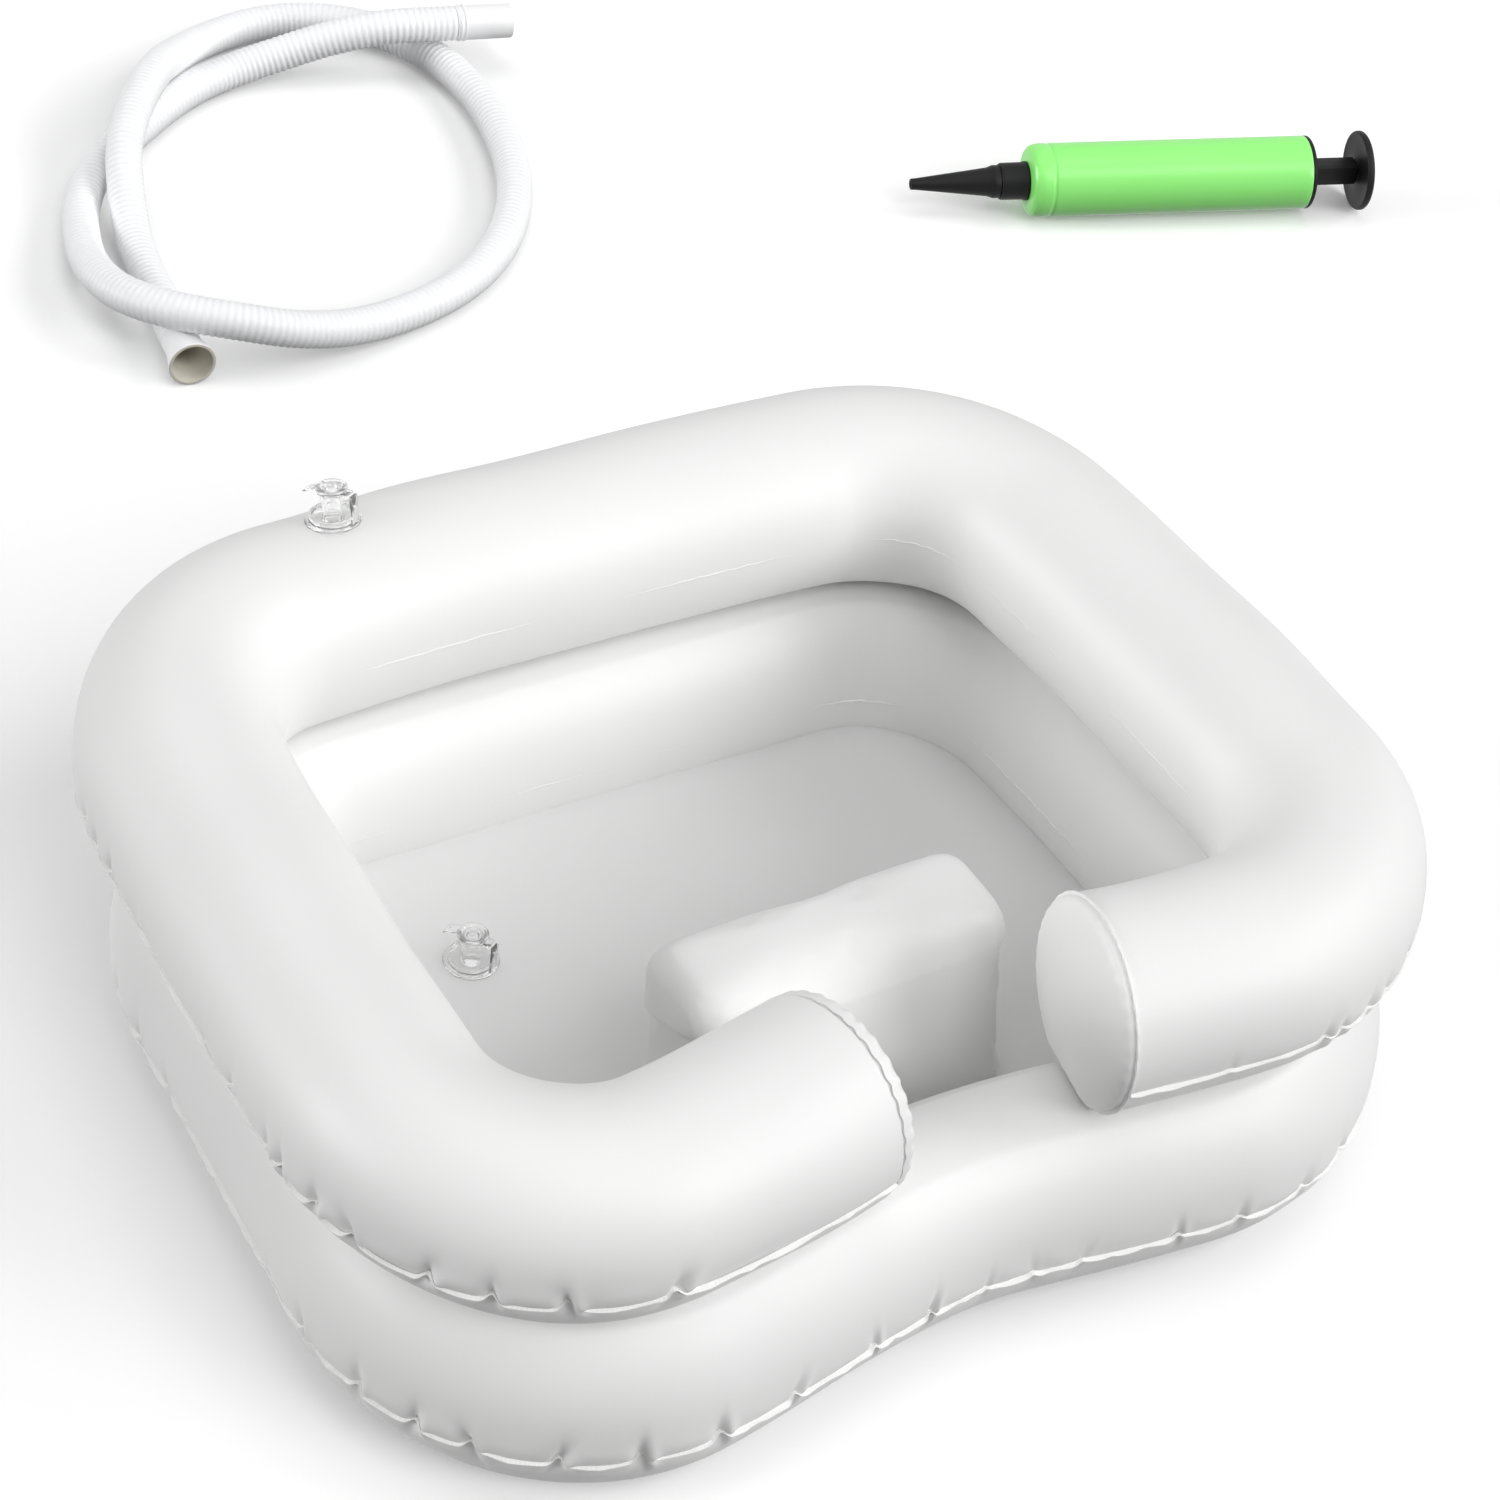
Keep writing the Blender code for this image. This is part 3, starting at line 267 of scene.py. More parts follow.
hosePlan = {
    "radius": 0.0128,          # on the ribs
    "groove": 0.0121,
    "bore": 0.0096,
    "ribPitch": 0.0046,
    "ringsPerRib": 5,
    "sides": 28,
    "clear": 0.0002,           # under the hose
    "over": 0.0272,            # rise where it passes over itself
    "flareReach": 0.12,        # the last stretch rises, so that the wider mouth clears the surface
    "flareRise": 0.0034,
    "smoothing": 71,
    "readings": 1700,
    "endReadings": 5,          # how many of them give an end its direction
    "lineStep": 0.001,
    "boreStep": 0.006,
    "ribShape": 0.7,           # the smaller, the broader a rib's top
    # from the plain end to the flared end: x, y from the basin's middle, and the lift, 1 at a crossing
    "route": [
        (0.2790, 0.9400, 1.05), (0.2512, 0.9465, 1.10), (0.2150, 0.9590, 0.75), (0.1800, 0.9690, 0.30),
        (0.1440, 0.9715, 0.03), (0.0976, 0.9575, 0.00), (0.0533, 0.9300, 0.00), (0.0130, 0.8990, 0.00),
        (-0.0159, 0.8638, 0.00), (-0.0332, 0.8279, 0.08), (-0.0462, 0.7850, 0.30), (-0.0505, 0.7430, 0.68),
        (-0.0415, 0.7040, 1.00), (-0.0200, 0.6765, 1.13), (0.0080, 0.6595, 1.02), (0.0370, 0.6515, 0.70),
        (0.0655, 0.6505, 0.38), (0.0950, 0.6530, 0.14), (0.1240, 0.6580, 0.02), (0.1640, 0.6680, 0.00),
        (0.2090, 0.6920, 0.00), (0.2472, 0.7310, 0.00), (0.2735, 0.7780, 0.00), (0.2900, 0.8320, 0.00),
        (0.2965, 0.8860, 0.00), (0.2900, 0.9370, 0.00), (0.2710, 0.9790, 0.00), (0.2380, 1.0100, 0.00),
        (0.1930, 1.0240, 0.00), (0.1500, 1.0160, 0.05), (0.1150, 0.9940, 0.40), (0.0840, 0.9645, 0.90),
        (0.0570, 0.9320, 1.05), (0.0345, 0.9010, 1.05), (0.0165, 0.8700, 0.90), (0.0040, 0.8360, 0.45),
        (-0.0060, 0.8000, 0.05), (-0.0135, 0.7600, 0.00), (-0.0200, 0.7120, 0.00),
    ],
}


def naturalSpline(knots, values, where):
    gaps = np.diff(knots)
    size = len(knots)
    matrix = np.eye(size)
    right = np.zeros(size)
    slopes = np.diff(values) / gaps
    for i in range(1, size - 1):
        matrix[i, i - 1:i + 2] = gaps[i - 1], 2 * (gaps[i - 1] + gaps[i]), gaps[i]
        right[i] = 6 * (slopes[i] - slopes[i - 1])
    bend = np.linalg.solve(matrix, right)
    i = np.clip(np.searchsorted(knots, where) - 1, 0, size - 2)
    a = (knots[i + 1] - where) / gaps[i]
    b = (where - knots[i]) / gaps[i]
    curve = a * values[i] + b * values[i + 1]
    return curve + ((a ** 3 - a) * bend[i] + (b ** 3 - b) * bend[i + 1]) * gaps[i] ** 2 / 6


def evenly(line, spacing):     # the same line, read at even steps
    along = np.concatenate([[0], np.cumsum(np.linalg.norm(np.diff(line, axis=0), axis=1))])
    even = np.linspace(0, along[-1], int(round(along[-1] / spacing)) + 1)
    return np.stack([np.interp(even, along, line[:, k]) for k in range(line.shape[1])], axis=1)


def hoseLine(plan):
    route = np.array(plan["route"])
    knots = np.concatenate([[0], np.cumsum(np.hypot(*np.diff(route[:, :2], axis=0).T))])
    where = np.linspace(0, knots[-1], plan["readings"])
    window = np.hanning(plan["smoothing"])
    lift = np.pad(np.interp(where, knots, route[:, 2]), len(window) // 2, mode="reflect", reflect_type="odd")
    lift = np.convolve(lift, window / window.sum(), mode="valid")
    share = np.clip(1 - (where[-1] - where) / plan["flareReach"], 0, 1)
    z = plan["radius"] + plan["clear"] + plan["over"] * lift + plan["flareRise"] * share ** 2 * (3 - 2 * share)
    line = np.stack([*(naturalSpline(knots, route[:, k], where) for k in (0, 1)), z], axis=1)
    few = plan["endReadings"]
    ends = []
    for end, inner in ((line[0], line[few]), (line[-1], line[-1 - few])):      # each end runs on straight
        ends.append(end + (end - inner) / np.linalg.norm(end - inner) * 2 * plan["radius"])
    return evenly(np.vstack([ends[0], line, ends[1]]), plan["lineStep"]) + basinMiddle


def gridPiece(name, points, closedAlong=False):
    rows, around = points.shape[:2]
    mesh = bpy.data.meshes.new(name)
    i = np.arange(rows if closedAlong else rows - 1)[:, None]
    j = np.arange(around)[None, :]
    k, m = (i + 1) % rows, (j + 1) % around
    quads = np.broadcast_arrays(i * around + j, i * around + m, k * around + m, k * around + j)
    quads = np.stack(quads, axis=-1)
    mesh.from_pydata(points.reshape(-1, 3).tolist(), [], quads.reshape(-1, 4).tolist())
    piece = bpy.data.objects.new(name, mesh)
    bpy.context.scene.collection.objects.link(piece)
    return piece


def closeAndTurnOut(piece, weldWithin=1e-6, sharp=60):
    bm = bmesh.new()
    bm.from_mesh(piece.data)
    bmesh.ops.remove_doubles(bm, verts=bm.verts, dist=weldWithin)
    bmesh.ops.holes_fill(bm, edges=[e for e in bm.edges if e.is_boundary], sides=0)
    bmesh.ops.recalc_face_normals(bm, faces=bm.faces)
    bm.to_mesh(piece.data)
    bm.free()
    piece.data.shade_smooth()
    piece.data.set_sharp_from_angle(angle=radians(sharp))


def dress(piece, body, replaced=(), material=None):
    if material is not None:
        piece.data.materials.clear()
        piece.data.materials.append(material)
    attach(piece, body)
    if replaced:
        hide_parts(*replaced)


def tubeAround(line, radii, sides):      # rings of points round a line that stays nearly level
    tangent = np.gradient(line, axis=0)
    tangent /= np.linalg.norm(tangent, axis=1)[:, None]
    across = np.stack([-tangent[:, 1], tangent[:, 0], np.zeros(len(line))], axis=1)
    across /= np.linalg.norm(across, axis=1)[:, None]
    over = np.cross(tangent, across)
    turns = np.linspace(0, 2 * pi, sides, endpoint=False)
    ring = across[:, None] * np.cos(turns)[None, :, None] + over[:, None] * np.sin(turns)[None, :, None]
    return line[:, None] + ring * radii[:, None, None]


def addHose(plan):
    line = hoseLine(plan)
    length = (len(line) - 1) * plan["lineStep"]
    ribs = int(length / plan["ribPitch"])
    steps = ribs * plan["ringsPerRib"] + 1
    outer = evenly(line, length / (steps - 1))[:steps]
    wave = (0.5 - 0.5 * np.cos(2 * pi * np.arange(len(outer)) / plan["ringsPerRib"])) ** plan["ribShape"]
    radii = plan["groove"] + (plan["radius"] - plan["groove"]) * wave
    boreLine = evenly(line, plan["boreStep"])
    boreRadii = np.full(len(boreLine), plan["bore"])
    skin = tubeAround(outer, radii, plan["sides"])
    bore = tubeAround(boreLine, boreRadii, plan["sides"])[::-1]
    piece = gridPiece("ribbedDrainHose", np.concatenate([skin, bore]), closedAlong=True)
    # ribHeight runs from 0 in the grooves to 1 on the rib tops and drives the painted groove shade; the bore
    # takes the middle
    height = piece.data.attributes.new("ribHeight", "FLOAT", "POINT")
    values = np.concatenate([np.repeat(wave, plan["sides"]), np.full(len(boreLine) * plan["sides"], 0.5)])
    height.data.foreach_set("value", values.astype(np.float32))
    closeAndTurnOut(piece, sharp=80)
    return piece, line, length


hose, hoseRoute, hoseLength = addHose(hosePlan)
dress(hose, "hose", ["drain_hose"], hosePlastic)
print(f"hose made: {hoseLength:.3f} m")


# Pieces modelled by hand: spun, extruded and bevelled with Blender's own operators

def deselectAll():
    if bpy.context.object and bpy.context.object.mode != "OBJECT":
        bpy.ops.object.mode_set(mode="OBJECT")
    bpy.ops.object.select_all(action="DESELECT")


def makeActive(piece):
    deselectAll()
    piece.select_set(True)
    bpy.context.view_layer.objects.active = piece


def applyModifier(piece, kind, **settings):
    makeActive(piece)
    modifier = piece.modifiers.new(kind, kind)
    for name, value in settings.items():
        setattr(modifier, name, value)
    bpy.ops.object.modifier_apply(modifier=modifier.name)


def spinProfile(name, profile, steps):      # (radius, height) pairs, spun round +Z
    deselectAll()
    bpy.ops.mesh.primitive_plane_add(size=0.001, location=(0, 0, 0))
    piece = bpy.context.object
    piece.name = piece.data.name = name
    bpy.ops.object.mode_set(mode="EDIT")
    bpy.ops.mesh.select_mode(type="VERT")
    bpy.ops.mesh.select_all(action="SELECT")
    bpy.ops.mesh.merge(type="CENTER")
    bpy.ops.transform.translate(value=(profile[0][0], 0, profile[0][1]))
    for (r, z), (nextR, nextZ) in zip(profile, profile[1:]):
        bpy.ops.mesh.extrude_vertices_move(TRANSFORM_OT_translate={"value": (nextR - r, 0, nextZ - z)})
    bpy.ops.mesh.select_all(action="SELECT")
    bpy.ops.mesh.spin(steps=steps, angle=2 * pi, center=(0, 0, 0), axis=(0, 0, 1))
    bpy.ops.mesh.select_all(action="SELECT")
    bpy.ops.mesh.remove_doubles(threshold=0.00001)
    bpy.ops.mesh.normals_make_consistent(inside=False)
    bpy.ops.object.mode_set(mode="OBJECT")
    return piece


def smoothFaces():      # of the active piece, but for its sharp edges
    bpy.ops.object.shade_smooth_by_angle(angle=radians(35))


def softenEdges(piece, width, segments=2, angle=25):
    applyModifier(piece, "BEVEL", width=width, segments=segments, limit_method="ANGLE",
                  angle_limit=radians(angle))
    smoothFaces()


def turnedPiece(name, profile, steps, edge, segments=2, angle=25):
    piece = spinProfile(name, profile, steps)
    softenEdges(piece, edge, segments, angle)
    return piece


def joinPieces(name, pieces):
    deselectAll()
    for piece in pieces:
        piece.select_set(True)
    bpy.context.view_layer.objects.active = pieces[0]
    bpy.ops.object.join()
    pieces[0].name = pieces[0].data.name = name
    return pieces[0]


def copyPiece(piece, name):
    twin = piece.copy()
    twin.data = piece.data.copy()
    twin.name = twin.data.name = name
    bpy.context.scene.collection.objects.link(twin)
    return twin


def placeMesh(piece, place):      # the place goes into the mesh, and the object stays at the origin
    piece.data.transform(place)
    piece.matrix_world = Matrix.Identity(4)
    return piece


def frameOf(origin, xWay, yWay, zWay):
    turned = Matrix((xWay, yWay, zWay)).transposed().to_4x4()
    return Matrix.Translation(origin) @ turned


def alongLine(start, away):       # a place whose own Z runs along a direction
    return Matrix.Translation(start) @ away.to_track_quat("Z", "Y").to_matrix().to_4x4()


# Cuffs on the hose's ends

cuffPlan = {
    "gap": 0.0003,
    "plainRadius": 0.0126,
    "plainLength": 0.042,
    "wall": 0.0022,
    "bead": 0.0009,
    "beads": (0.0015, 0.0050),     # where the outlet's two beads start
    "mouthRadius": 0.0162,
    "mouthLength": 0.030,
    "edge": 0.0004,
    "around": 56,
    "shade": 0.9,              # the rib height whose tint the cuffs take: near the rib tops' white, away from the grooves' painted shade
}


def addCuffs(plan, line):
    r, wall, end = plan["plainRadius"], plan["wall"], plan["plainLength"]
    profile = [(r - wall, 0), (r, 0)]
    for start in plan["beads"]:
        for up, out in ((0, 0), (0.0005, plan["bead"]), (0.0015, plan["bead"]), (0.0020, 0)):
            profile.append((r + out, start + up))
    profile += [(r - 0.0001, end * 0.6), (r - 0.0002, end), (r - wall, end), (r - wall, 0)]
    plain = turnedPiece("plainOutletCuff", profile, plan["around"], plan["edge"], 3)
    mouth, end = plan["mouthRadius"], plan["mouthLength"]
    profile = [(r - wall, 0), (r, 0), (r, end * 0.40), (r + 0.0009, end * 0.55), (r + 0.0022, end * 0.75),
               (mouth - 0.0008, end * 0.90), (mouth, end * 0.94), (mouth, end), (mouth - wall, end),
               (mouth - wall - 0.0012, end * 0.80), (r - wall + 0.0006, end * 0.55), (r - wall, end * 0.45),
               (r - wall, 0)]
    flared = turnedPiece("flaredInletCuff", profile, plan["around"], plan["edge"], 3)
    for piece, tip, inner in ((plain, line[0], line[4]), (flared, line[-1], line[-5])):
        away = Vector(tip - inner).normalized()
        placeMesh(piece, alongLine(Vector(tip) + away * plan["gap"], away))
    return plain, flared


def creamInside(piece, start, away):      # the flared cuff shows cream soft vinyl inside and on its rim
    piece.data.materials.clear()
    for material in (hosePlastic, cuffVinyl):
        piece.data.materials.append(material)
    for face in piece.data.polygons:
        offset = Vector(face.center) - start
        outwards = offset - away * offset.dot(away)
        if face.normal.dot(outwards) < 0 or face.normal.dot(away) > 0.7:
            face.material_index = 1


plainCuff, flaredCuff = addCuffs(cuffPlan, hoseRoute)
# the cuffs get one rib height, so the painted groove shade hardly darkens them
for cuff in (plainCuff, flaredCuff):
    height = cuff.data.attributes.new("ribHeight", "FLOAT", "POINT")
    height.data.foreach_set("value", np.full(len(cuff.data.vertices), cuffPlan["shade"], np.float32))
mouthWay = Vector(hoseRoute[-1] - hoseRoute[-5]).normalized()
dress(plainCuff, "hose", ["hose_plain_cuff"], hosePlastic)
dress(flaredCuff, "hose", ["hose_flared_cuff"])
creamInside(flaredCuff, Vector(hoseRoute[-1]), mouthWay)
print("cuffs made")


# Air tubes: an upper C and a closed lower ring, both swept along bowed outlines with round corners

ringPlan = {
    "pinchWidth": 0.1148,
    "taperBack": 0.140,        # narrowing per metre towards the back
    "taperRight": 0.104,       # flattening per metre towards the right
    "contact": 0.1225,         # level at which the two tubes press on each other
    "gap": 0.0003,
    "outerSeam": radians(-13),
    "innerSeam": radians(177),
    "seamReach": radians(17),  # fine steps on both sides of the outer seam
    "fineStep": radians(1.25),
    "coarseStep": radians(4.6),
    "straightStep": 0.0046,
    "pleatStep": 0.0010,
    "pleatReach": 0.0085,
    "reading": 0.00025,        # step at which the rings' spacing is worked out
    "wayReach": 0.004,         # a tube's direction is taken this far to both sides
    "flatFade": 0.006,         # the film's relief fades out this near to a flat
}
upperTube = {
    "name": "upper",
    "half": (0.2741, 0.2258),
    "corner": 0.1081,
    "bulge": 0.0101,
    "tube": (0.0559, 0.0577),
    "level": 0.1755,
    "pinch": 0.0293,
    "shift": 0.0,
    "closed": False,
    "neck": (-0.074, 0.085),
    # where the film is gathered at the outer seam, metres along the tube, and how strongly
    "pleats": [
        (0.101, 0.45), (0.109, 0.35), (0.123, 0.40), (0.134, 0.30), (0.154, 0.35),
        (1.314, 0.45), (1.358, 0.70), (1.370, 0.85), (1.389, 1.00), (1.407, 1.00), (1.435, 1.10),
        (1.456, 1.00), (1.479, 1.10), (1.512, 1.00),
    ],
    "bends": [(0.17, 0.24, 3, 0.45), (0.47, 0.63, 7, 0.75), (0.99, 1.17, 8, 0.75)],
    "straights": 14,
    "seed": 5,
}
lowerTube = {
    "name": "lower",
    "half": (0.2690, 0.2202),
    "corner": 0.1172,
    "bulge": 0.0015,
    "tube": (0.0493, 0.0650),
    "level": 0.0637,
    "pinch": 0.0253,
    "shift": -0.0179,
    "closed": True,
    "pleats": [
        (0.740, 0.45), (0.770, 0.45), (0.810, 0.45),
        (0.984, 0.80), (1.015, 0.95), (1.040, 0.95), (1.061, 1.00), (1.091, 1.05), (1.119, 1.05),
        (1.148, 0.95), (1.188, 0.75), (1.240, 0.60), (1.281, 0.80), (1.442, 0.40), (1.476, 0.40),
        (1.506, 0.45), (1.532, 0.40),
    ],
    "bends": [(0.13, 0.33, 8, 0.75), (0.60, 0.72, 4, 0.6), (1.57, 1.70, 6, 0.5)],
    "straights": 16,
    "seed": 9,
}
gatherPlan = {
    "depth": 0.0036,           # of a pleat's groove
    "width": 0.0021,
    "fan": 0.10,               # how fast it widens away from the seam
    "ridge": 0.0021,           # of the fold beside it
    "ridgeWidth": 0.0019,
    "beside": 0.0033,
    "reachUp": 0.0125,
    "reachDown": 0.0095,
    "puff": 0.0012,            # the film swells between two pleats
    "sag": 0.0019,             # the welded line hangs between two pleats
    "rise": 0.0026,            # and turns up at each
    "span": 0.027,             # pleats further apart than this gather less
    "crease": 0.0010,
    "creaseWidth": 0.0013,
    "puffAt": 0.007,           # above and below the seam
    "riseWidth": 0.0024,
    "lean": 0.25,              # most that a pleat leans, and how this changes from pleat to pleat
    "leanTurn": 2.4,
    "ends": 0.03,              # a pleat moves nothing further away
    "beyond": 0.05,            # where the next one would be past an open end
    "wander": 0.3,             # of the pleats at a bend, as a share of their spacing
    "varied": (0.7, 1.2),      # and of their strength
    "faint": (0.10, 0.22),     # strength of those on the straights
    "faintApart": 0.03,
    "mostFaint": 30,
    "uneven": 0.0005,          # the film's slow swells: depth, how many, waves along and round
    "swells": 9,
    "swellsAlong": (2, 18),
    "swellsRound": (0, 3),
}


def bowedOutline(halfX, halfY, corner, bulge, samples=90):
    sideRadius, endRadius = halfY ** 2 / (2 * bulge), halfX ** 2 / (2 * bulge)
    sideCentre, endCentre = np.array([halfX - sideRadius, 0.0]), np.array([0.0, halfY - endRadius])
    apart = np.linalg.norm(endCentre - sideCentre)
    unit = (endCentre - sideCentre) / apart
    square = np.array([-unit[1], unit[0]])
    along = (apart ** 2 + (sideRadius - corner) ** 2 - (endRadius - corner) ** 2) / (2 * apart)
    across = sqrt((sideRadius - corner) ** 2 - along ** 2)
    foot = sideCentre + unit * along
    cornerCentre = max(foot + square * across, foot - square * across, key=np.sum)
    turnA = atan2(cornerCentre[1] - sideCentre[1], cornerCentre[0] - sideCentre[0])
    turnB = atan2(cornerCentre[1] - endCentre[1], cornerCentre[0] - endCentre[0])
    quarter = [np.array([halfX, 0.0])]
    arcs = ((sideCentre, sideRadius, 0, turnA), (cornerCentre, corner, turnA, turnB),
            (endCentre, endRadius, turnB, pi / 2))
    for centre, radius, start, stop in arcs:
        for turn in np.linspace(start, stop, samples)[1:]:
            quarter.append(centre + radius * np.array([cos(turn), sin(turn)]))
    quarter = np.array(quarter)
    back = np.vstack([quarter, quarter[::-1][1:] * [-1, 1]])
    return np.vstack([back, back[::-1][1:-1] * [1, -1]])


def tubeOutline(tube):
    loop = bowedOutline(*tube["half"], tube["corner"], tube["bulge"])
    x, y = loop[:, 0], loop[:, 1]
    front = np.where(y < 0, 1.0, 0.0)
    y = y + tube["pinch"] * np.exp(-(x / ringPlan["pinchWidth"]) ** 2) * front + tube["shift"]
    loop = np.stack([x * (1 - ringPlan["taperBack"] * y), y * (1 - ringPlan["taperRight"] * x)], axis=1)
    if tube["closed"]:
        return np.vstack([loop, loop[:1]])
    front = np.flatnonzero(loop[:, 1] < -tube["half"][1] / 2)
    left, right = (front[np.argmin(np.abs(loop[front, 0] - side))] for side in tube["neck"])
    return np.vstack([loop[right:], loop[:left + 1]])


def allPleats(tube, length):
    plan = gatherPlan
    chance = np.random.default_rng(tube["seed"])
    found = list(tube["pleats"])
    for start, stop, count, strength in tube["bends"]:
        step = (stop - start) / count
        for k in range(count):
            place = start + step * (k + 0.5 + chance.uniform(-plan["wander"], plan["wander"]))
            found.append((place, strength * chance.uniform(*plan["varied"])))
    taken = np.array([at for at, strength in found])
    apart, most = plan["faintApart"], len(tube["pleats"]) + plan["mostFaint"]
    for at in chance.uniform(apart, length - apart, 3 * tube["straights"])[:2 * tube["straights"]]:
        if np.min(np.abs(taken - at)) > apart and len(found) < most:
            found.append((at, chance.uniform(*plan["faint"])))
            taken = np.append(taken, at)
    return np.array(sorted(found))


def tubeStations(length, pleats, closed):
    reading = ringPlan["reading"]
    fine = np.arange(0, length, reading)
    apart = np.abs(fine[:, None] - pleats[None, :, 0])
    if closed:
        apart = np.minimum(apart, length - apart)
    near = np.exp(-(apart / ringPlan["pleatReach"]) ** 4) * np.clip(pleats[None, :, 1] * 3, 0, 1)
    density = 1 / ringPlan["straightStep"] + near.max(axis=1) / ringPlan["pleatStep"]
    counted = np.concatenate([[0], np.cumsum((density[1:] + density[:-1]) / 2 * reading)])
    total = int(round(counted[-1]))
    wanted = np.linspace(0, counted[-1], total, endpoint=not closed)
    return np.interp(wanted, counted, fine)


def pathAt(outline, where, closed):
    steps = np.linalg.norm(np.diff(outline, axis=0), axis=1)
    along = np.concatenate([[0], np.cumsum(steps)])
    spots = np.stack([np.interp(where, along, outline[:, k]) for k in (0, 1)], axis=1)
    reach = ringPlan["wayReach"]
    if closed:
        ahead, behind = (where + reach) % along[-1], (where - reach) % along[-1]
    else:
        ahead, behind = np.minimum(where + reach, along[-1]), np.maximum(where - reach, 0)
    way = np.stack([np.interp(ahead, along, outline[:, k]) - np.interp(behind, along, outline[:, k])
                    for k in (0, 1)], axis=1)
    normal = np.stack([way[:, 1], -way[:, 0]], axis=1)
    return spots, normal / np.linalg.norm(normal, axis=1)[:, None]


def betweenPleats(where, pleats, length, closed):      # share of the way to the next, and how dense they are
    places, beyond = pleats[:, 0], gatherPlan["beyond"]
    ends = (places[-1] - length, places[0] + length) if closed else (-beyond, length + beyond)
    places = np.concatenate([ends[:1], places, ends[1:]])
    i = np.clip(np.searchsorted(places, where, side="right") - 1, 0, len(places) - 2)
    span = places[i + 1] - places[i]
    return (where - places[i]) / span, np.clip(gatherPlan["span"] / span, 0, 1) ** 1.5


def awayFrom(where, place, length, closed):
    apart = where - place
    if closed:
        apart = (apart + length / 2) % length - length / 2
    return apart


def seamLift(where, pleats, length, closed):      # how far the welded line is above its level
    plan = gatherPlan
    share, dense = betweenPleats(where, pleats, length, closed)
    lift = -plan["sag"] * np.sin(pi * share) ** 0.8 * dense
    for place, strength in pleats:
        apart = awayFrom(where, place, length, closed)
        lift += plan["rise"] * strength * np.exp(-(apart / plan["riseWidth"]) ** 2)
    return lift


def filmRelief(where, above, pleats, length, closed):      # how far the film stands out from a smooth tube
    plan = gatherPlan
    share, dense = betweenPleats(where, pleats, length, closed)
    reach = np.where(above > 0, plan["reachUp"], plan["reachDown"])
    fall = np.exp(-(np.abs(above) / reach) ** 2)
    swollen = np.exp(-((np.abs(above) - plan["puffAt"]) / plan["puffAt"]) ** 2)
    relief = -plan["crease"] * np.exp(-(above / plan["creaseWidth"]) ** 2)
    relief = relief + plan["puff"] * (np.sin(pi * share) ** 2 * dense)[:, None] * swollen
    for number, (place, strength) in enumerate(pleats):
        lean = plan["lean"] * sin(number * plan["leanTurn"])
        apart = awayFrom(where, place, length, closed)
        nearby = np.abs(apart) < plan["ends"]
        across = apart[nearby, None] - lean * above[nearby]
        width = plan["width"] + plan["fan"] * np.abs(above[nearby])
        groove = -plan["depth"] * np.exp(-(across / width) ** 2)
        fold = plan["ridge"] * np.exp(-((across - plan["beside"]) / (plan["ridgeWidth"] + width / 3)) ** 2)
        relief[nearby] += strength * (groove + fold) * fall[nearby]
    return relief


def sectionTurns(tube):      # angles round the tube, fine at the outer seam, with the flats' corners
    halfHeight, level = tube["tube"][1], tube["level"]
    foot, head = (np.arcsin(np.clip((flat - level) / halfHeight, -1, 1)) for flat in tubeFlats(tube))
    seam, reach, coarse = (ringPlan[key] for key in ("outerSeam", "seamReach", "coarseStep"))
    fine = np.arange(seam - reach, seam + reach, ringPlan["fineStep"])
    below = np.linspace(foot, fine[0], int((fine[0] - foot) / coarse) + 1, endpoint=False)
    start = fine[-1] + coarse / 2
    if head < pi / 2:
        above = [np.linspace(start, head, int((head - fine[-1]) / coarse)),
                 np.linspace(pi - head, pi - foot, int((2 * pi - foot + head - pi) / coarse / 2) + 8)]
    else:
        above = [np.linspace(start, pi - foot, int((pi - foot - fine[-1]) / coarse))]
    return np.concatenate([below, fine, *above])


def tubeFlats(tube):
    if tube["name"] == "upper":
        return ringPlan["contact"] + ringPlan["gap"] / 2, 1.0
    return 0.0002, ringPlan["contact"] - ringPlan["gap"] / 2


def sweepTube(tube):
    outline = tubeOutline(tube)
    length = np.linalg.norm(np.diff(outline, axis=0), axis=1).sum()
    pleats = allPleats(tube, length)
    where = tubeStations(length, pleats, tube["closed"])
    centres, normals = pathAt(outline, where, tube["closed"])
    turns = sectionTurns(tube)
    halfWidth, halfHeight = tube["tube"]
    radius = (halfWidth + halfHeight) / 2
    lift = seamLift(where, pleats, length, tube["closed"])
    above = radius * (turns - ringPlan["outerSeam"])[None, :] - lift[:, None]
    relief = filmRelief(where, above, pleats, length, tube["closed"])
    relief += unevenness(where, turns, length, tube["seed"])
    low, high = tubeFlats(tube)
    height = tube["level"] + halfHeight * np.sin(turns)
    relief *= np.clip(np.minimum(height - low, high - height) / ringPlan["flatFade"], 0, 1)[None, :]
    outX, outZ = np.cos(turns) / halfWidth, np.sin(turns) / halfHeight
    size = np.hypot(outX, outZ)
    u = halfWidth * np.cos(turns)[None, :] + relief * (outX / size)[None, :]
    v = np.clip(height[None, :] + relief * (outZ / size)[None, :], low, high)
    flat = centres[:, None, :] + normals[:, None, :] * u[:, :, None]
    points = np.concatenate([flat, v[:, :, None]], axis=2) + basinMiddle
    return {"points": points, "where": where, "centres": centres, "normals": normals, "lift": lift,
            "pleats": pleats, "length": length, "tube": tube}


def unevenness(where, turns, length, seed):      # slow swells of the film, the same each run
    plan = gatherPlan
    chance = np.random.default_rng(seed + 100)
    total = np.zeros((len(where), len(turns)))
    for _ in range(plan["swells"]):
        along = chance.integers(*plan["swellsAlong"])
        lobes = chance.integers(*plan["swellsRound"])
        phase = chance.uniform(0, 2 * pi)
        total += np.sin(2 * pi * along * where[:, None] / length + lobes * turns[None, :] + phase)
    return plan["uneven"] * total / sqrt(plan["swells"])


